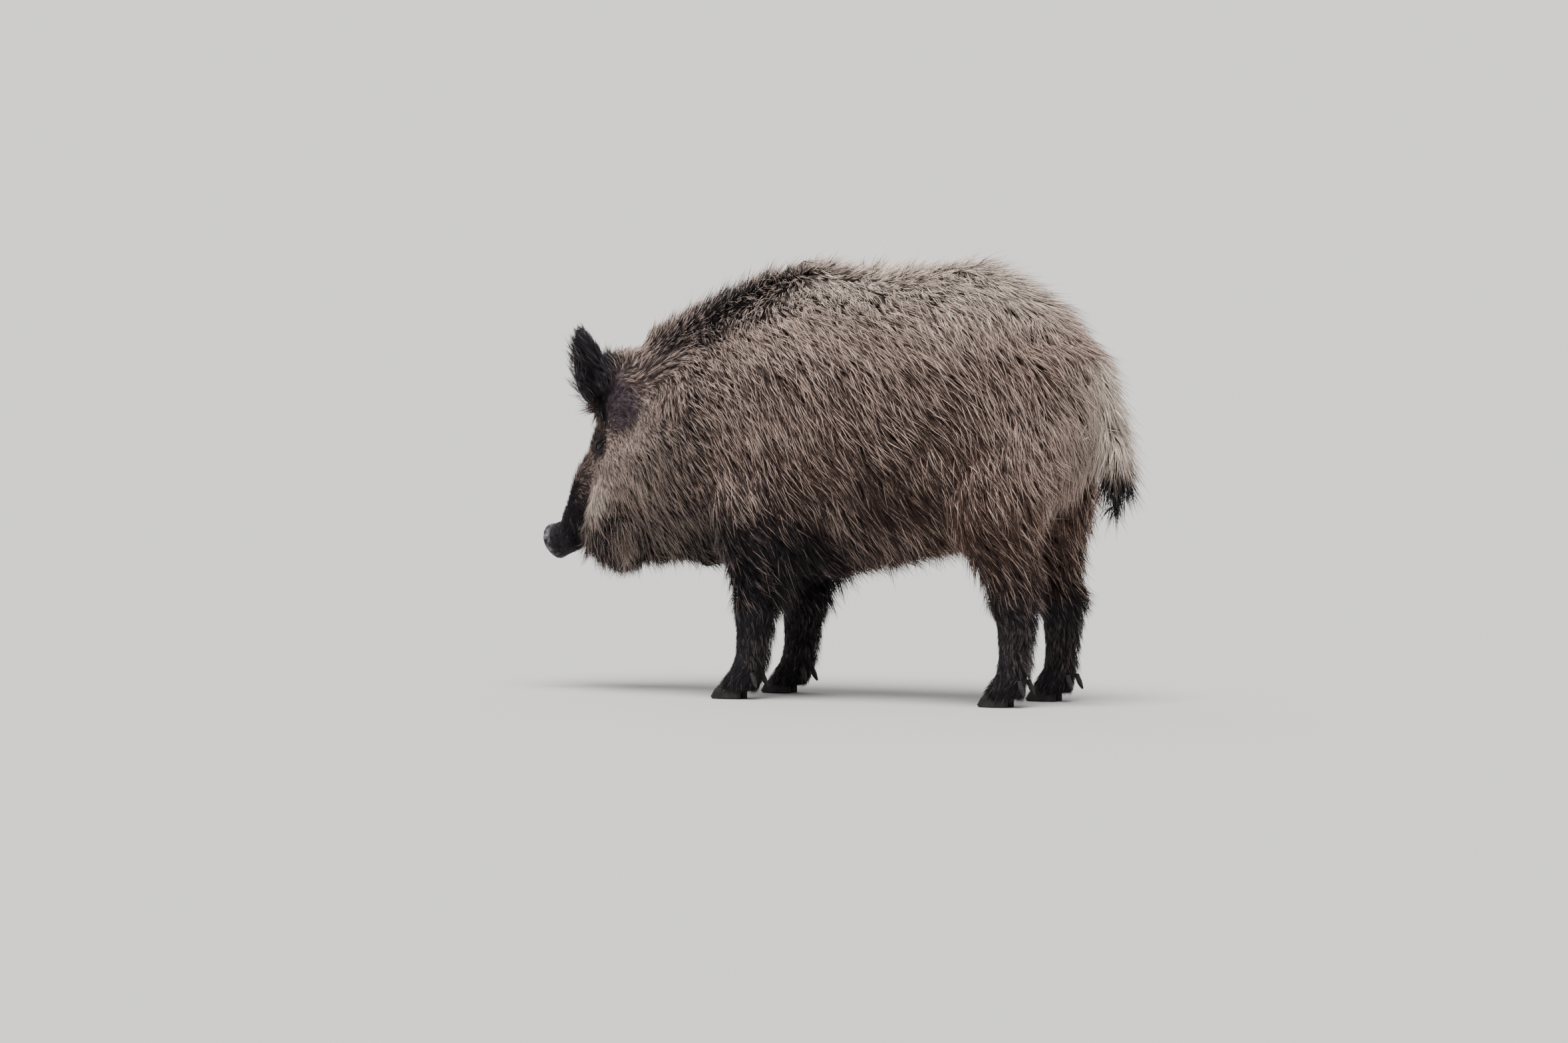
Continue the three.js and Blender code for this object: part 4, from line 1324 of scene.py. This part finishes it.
def claw_finish(colours):
    finish = Finish("claw")
    fibres = finish.noise(0.0016, 4.0, (1.0, 1.0, 0.15))
    rings = finish.noise(0.0035, 3.0, (0.15, 0.15, 1.0))
    stain = finish.noise(0.012, 4.0)
    worn = ((stain * fibres - 0.22) * 5.0).clamped()
    base = finish.mix(colours.claw, (0.036, 0.027, 0.027, 1), worn)
    base = finish.multiply(base, finish.mix(grey(0.55), grey(1.2), rings))
    return finish.shade({
        "Base Color": base,
        "Roughness": 0.48 + 0.25 * fibres,
        "Specular IOR Level": 0.28,
        "Normal": finish.bump(0.6 * fibres + rings, 0.0007, 0.7),
    })


# ---------- stage ----------
CAMERA_AZIMUTH = math.radians(115)
CAMERA_ELEVATION = math.radians(3)
CAMERA_DISTANCE = 18.0
CAMERA_LENS = 235.3
CAMERA_SENSOR = 36.0
AIM_AHEAD = 0.0264  # of the middle of the box, towards the tail
AIM_RIGHT = -0.1069
AIM_UP = -0.0794


def camera_place():
    """Where the camera stands and which way it looks back."""
    a, e = CAMERA_AZIMUTH, CAMERA_ELEVATION
    back = Vector((math.sin(a) * math.cos(e), -math.cos(a) * math.cos(e), math.sin(e)))
    right = Vector((math.cos(a), math.sin(a), 0))
    up = back.cross(right)
    middle = (CAD_BOX[0] + CAD_BOX[1]) / 2
    aim = middle + Vector((0, AIM_AHEAD, 0)) + right * AIM_RIGHT + up * AIM_UP
    return aim + back * CAMERA_DISTANCE, back


SKY_LOW = (0.973, 0.967, 0.957, 1.0)
SKY_STOPS = (  # height above the horizon and colour
    (0.0, SKY_LOW), (0.05, SKY_LOW), (0.16, grey(0.60)), (0.40, grey(0.44)), (1.0, grey(0.58)),
)
SKY_STRENGTH = 1.27
FLOOR_HALF = 1500.0
LIGHT_AIM = (0, 0, 0.4)
SUNS = {  # energy, angle across in degrees, place and tint
    "key": (7.2, 35, (1.9, 0.9, 6.0), (1.0, 0.985, 0.965)),
    "fill": (0.6, 40, (-2.5, -3.5, 4.0), (0.95, 0.97, 1.0)),
}


def floor_finish(colours):
    finish = Finish("floor")
    cloud = finish.noise(0.9, 3.0)
    base = finish.multiply(colours.floor, finish.mix(grey(0.97), grey(1.0), cloud))
    return finish.shade({"Base Color": base, "Roughness": 0.85})


def studio_world():
    """A bright band at the horizon that meets the floor's tone, a softer sky above it."""
    finish = Finish("studio", "worlds")
    way = finish.signal("ShaderNodeTexCoord", "Generated")
    height = finish.signal("ShaderNodeSeparateXYZ", 2, {}, {0: way})
    sky = finish.ramp(height, SKY_STOPS)
    glow = finish.signal("ShaderNodeBackground", 0, {}, {"Color": sky, "Strength": SKY_STRENGTH})
    finish.node("ShaderNodeOutputWorld", {}, {0: glow})
    return finish.material


def add_sun(name, energy, angle, place, tint):
    """A soft light from a place towards the boar."""
    data = bpy.data.lights.new(name, "SUN")
    data.energy = energy
    data.angle = math.radians(angle)
    data.color = tint
    light = bpy.data.objects.new(name, data)
    light.location = place
    light.rotation_euler = (Vector(LIGHT_AIM) - Vector(place)).to_track_quat("-Z", "Y").to_euler()
    bpy.context.scene.collection.objects.link(light)


def add_camera():
    data = bpy.data.cameras.new("camera")
    data.lens = CAMERA_LENS
    data.sensor_width = CAMERA_SENSOR
    data.clip_start = 0.1
    data.clip_end = 5000
    camera = bpy.data.objects.new("camera", data)
    camera.location, back = camera_place()
    camera.rotation_euler = (-back).to_track_quat("-Z", "Y").to_euler()
    bpy.context.scene.collection.objects.link(camera)
    return camera


# ---------- operators ----------
STORE = {}


class BOAR_OT_skin(bpy.types.Operator):
    """Makes the skin from the flesh solids, inside them by the coat's depth"""

    bl_idname = "boar.make_skin"
    bl_label = "Make Skin"

    def execute(self, context):
        scene = context.scene
        mesh, names = make_skin_mesh(scene.boar_skin)
        STORE["names"] = names
        put("skin", mesh, skin_finish(scene.boar_colours), FLESH)
        return {"FINISHED"}


class BOAR_OT_coat(bpy.types.Operator):
    """Grows the coat on the skin, one piece for each region"""

    bl_idname = "boar.make_coat"
    bl_label = "Make Coat"

    def execute(self, context):
        scene = context.scene
        skin = scene.objects["skin"].data
        growth = Growth()
        tufts = tuft_collection(TUFT_SEED)
        finish = coat_finish(scene.boar_colours)
        share = scene.boar_coat.density * 1.0
        for rank, (name, chosen) in enumerate(coat_regions(skin, STORE["names"]).items()):
            ground = ground_mesh(skin, chosen)
            mesh = growth.grow(ground, {
                "Tufts": tufts,
                "Most": float(get(ground.attributes["density"].data, "value").max()),
                "Share": share,
                "Lock Width": scene.boar_coat.width,
                "Seed": GROWTH_SEED + 10 * rank,
                "Finish": finish,
            })
            for spare in SPARE_ATTRIBUTES:
                if spare in mesh.attributes:
                    mesh.attributes.remove(mesh.attributes[spare])
            put(name, mesh, finish)
        return {"FINISHED"}


class BOAR_OT_eyes(bpy.types.Operator):
    """Makes both eyeballs"""

    bl_idname = "boar.make_eyes"
    bl_label = "Make Eyes"

    def execute(self, context):
        finish = eye_finish(context.scene.boar_colours)
        for side, way in SIDES.items():
            put(f"eyeball_{side}", eye_mesh(side, way), finish, (f"eye_{side}",))
        return {"FINISHED"}


class BOAR_OT_claws(bpy.types.Operator):
    """Makes the claws and dewclaws of all four feet"""

    bl_idname = "boar.make_claws"
    bl_label = "Make Claws"

    def execute(self, context):
        finish = claw_finish(context.scene.boar_colours)
        for name in CLAWS:
            put(f"horn_{name}", claw_mesh(name), finish, (name,))
        return {"FINISHED"}


class BOAR_OT_stage(bpy.types.Operator):
    """Sets the floor, the soft lights and the camera"""

    bl_idname = "boar.set_stage"
    bl_label = "Set Stage"

    def execute(self, context):
        scene = context.scene
        mesh = bpy.data.meshes.new("floor")
        square = ((-1, -1), (1, -1), (1, 1), (-1, 1))
        corners = [(a * FLOOR_HALF, b * FLOOR_HALF, 0) for a, b in square]
        mesh.from_pydata(corners, [], [(0, 1, 2, 3)])
        mesh.materials.append(floor_finish(scene.boar_colours))
        floor = bpy.data.objects.new("floor", mesh)
        scene.collection.objects.link(floor)
        for name, values in SUNS.items():
            add_sun(name, *values)
        scene.world = studio_world()
        scene.camera = add_camera()
        return {"FINISHED"}


class BOAR_PT_panel(bpy.types.Panel):
    """Lists the boar's operators and sizes"""

    bl_idname = "BOAR_PT_panel"
    bl_label = "Wild Boar"
    bl_space_type = "VIEW_3D"
    bl_region_type = "UI"
    bl_category = "Boar"

    def draw(self, context):
        for group in (context.scene.boar_skin, context.scene.boar_coat, context.scene.boar_colours):
            box = self.layout.box()
            for name in group.__annotations__:
                box.prop(group, name)
        for operator in OPERATORS:
            self.layout.operator(operator.bl_idname)


GROUPS = {"boar_skin": BoarSkinSizes, "boar_coat": BoarCoatSizes, "boar_colours": BoarColours}
OPERATORS = (BOAR_OT_stage, BOAR_OT_skin, BOAR_OT_coat, BOAR_OT_eyes, BOAR_OT_claws)


def register():
    for group in GROUPS.values():
        bpy.utils.register_class(group)
    for operator in OPERATORS:
        bpy.utils.register_class(operator)
    bpy.utils.register_class(BOAR_PT_panel)
    for name, group in GROUPS.items():
        setattr(bpy.types.Scene, name, bpy.props.PointerProperty(type=group))


def unregister():
    for name in GROUPS:
        delattr(bpy.types.Scene, name)
    bpy.utils.unregister_class(BOAR_PT_panel)
    for operator in reversed(OPERATORS):
        bpy.utils.unregister_class(operator)
    for group in reversed(GROUPS.values()):
        bpy.utils.unregister_class(group)


def main():
    register()
    bpy.ops.boar.set_stage()
    bpy.ops.boar.make_skin()
    bpy.ops.boar.make_coat()
    bpy.ops.boar.make_eyes()
    bpy.ops.boar.make_claws()


if __name__ == "__main__":
    main()
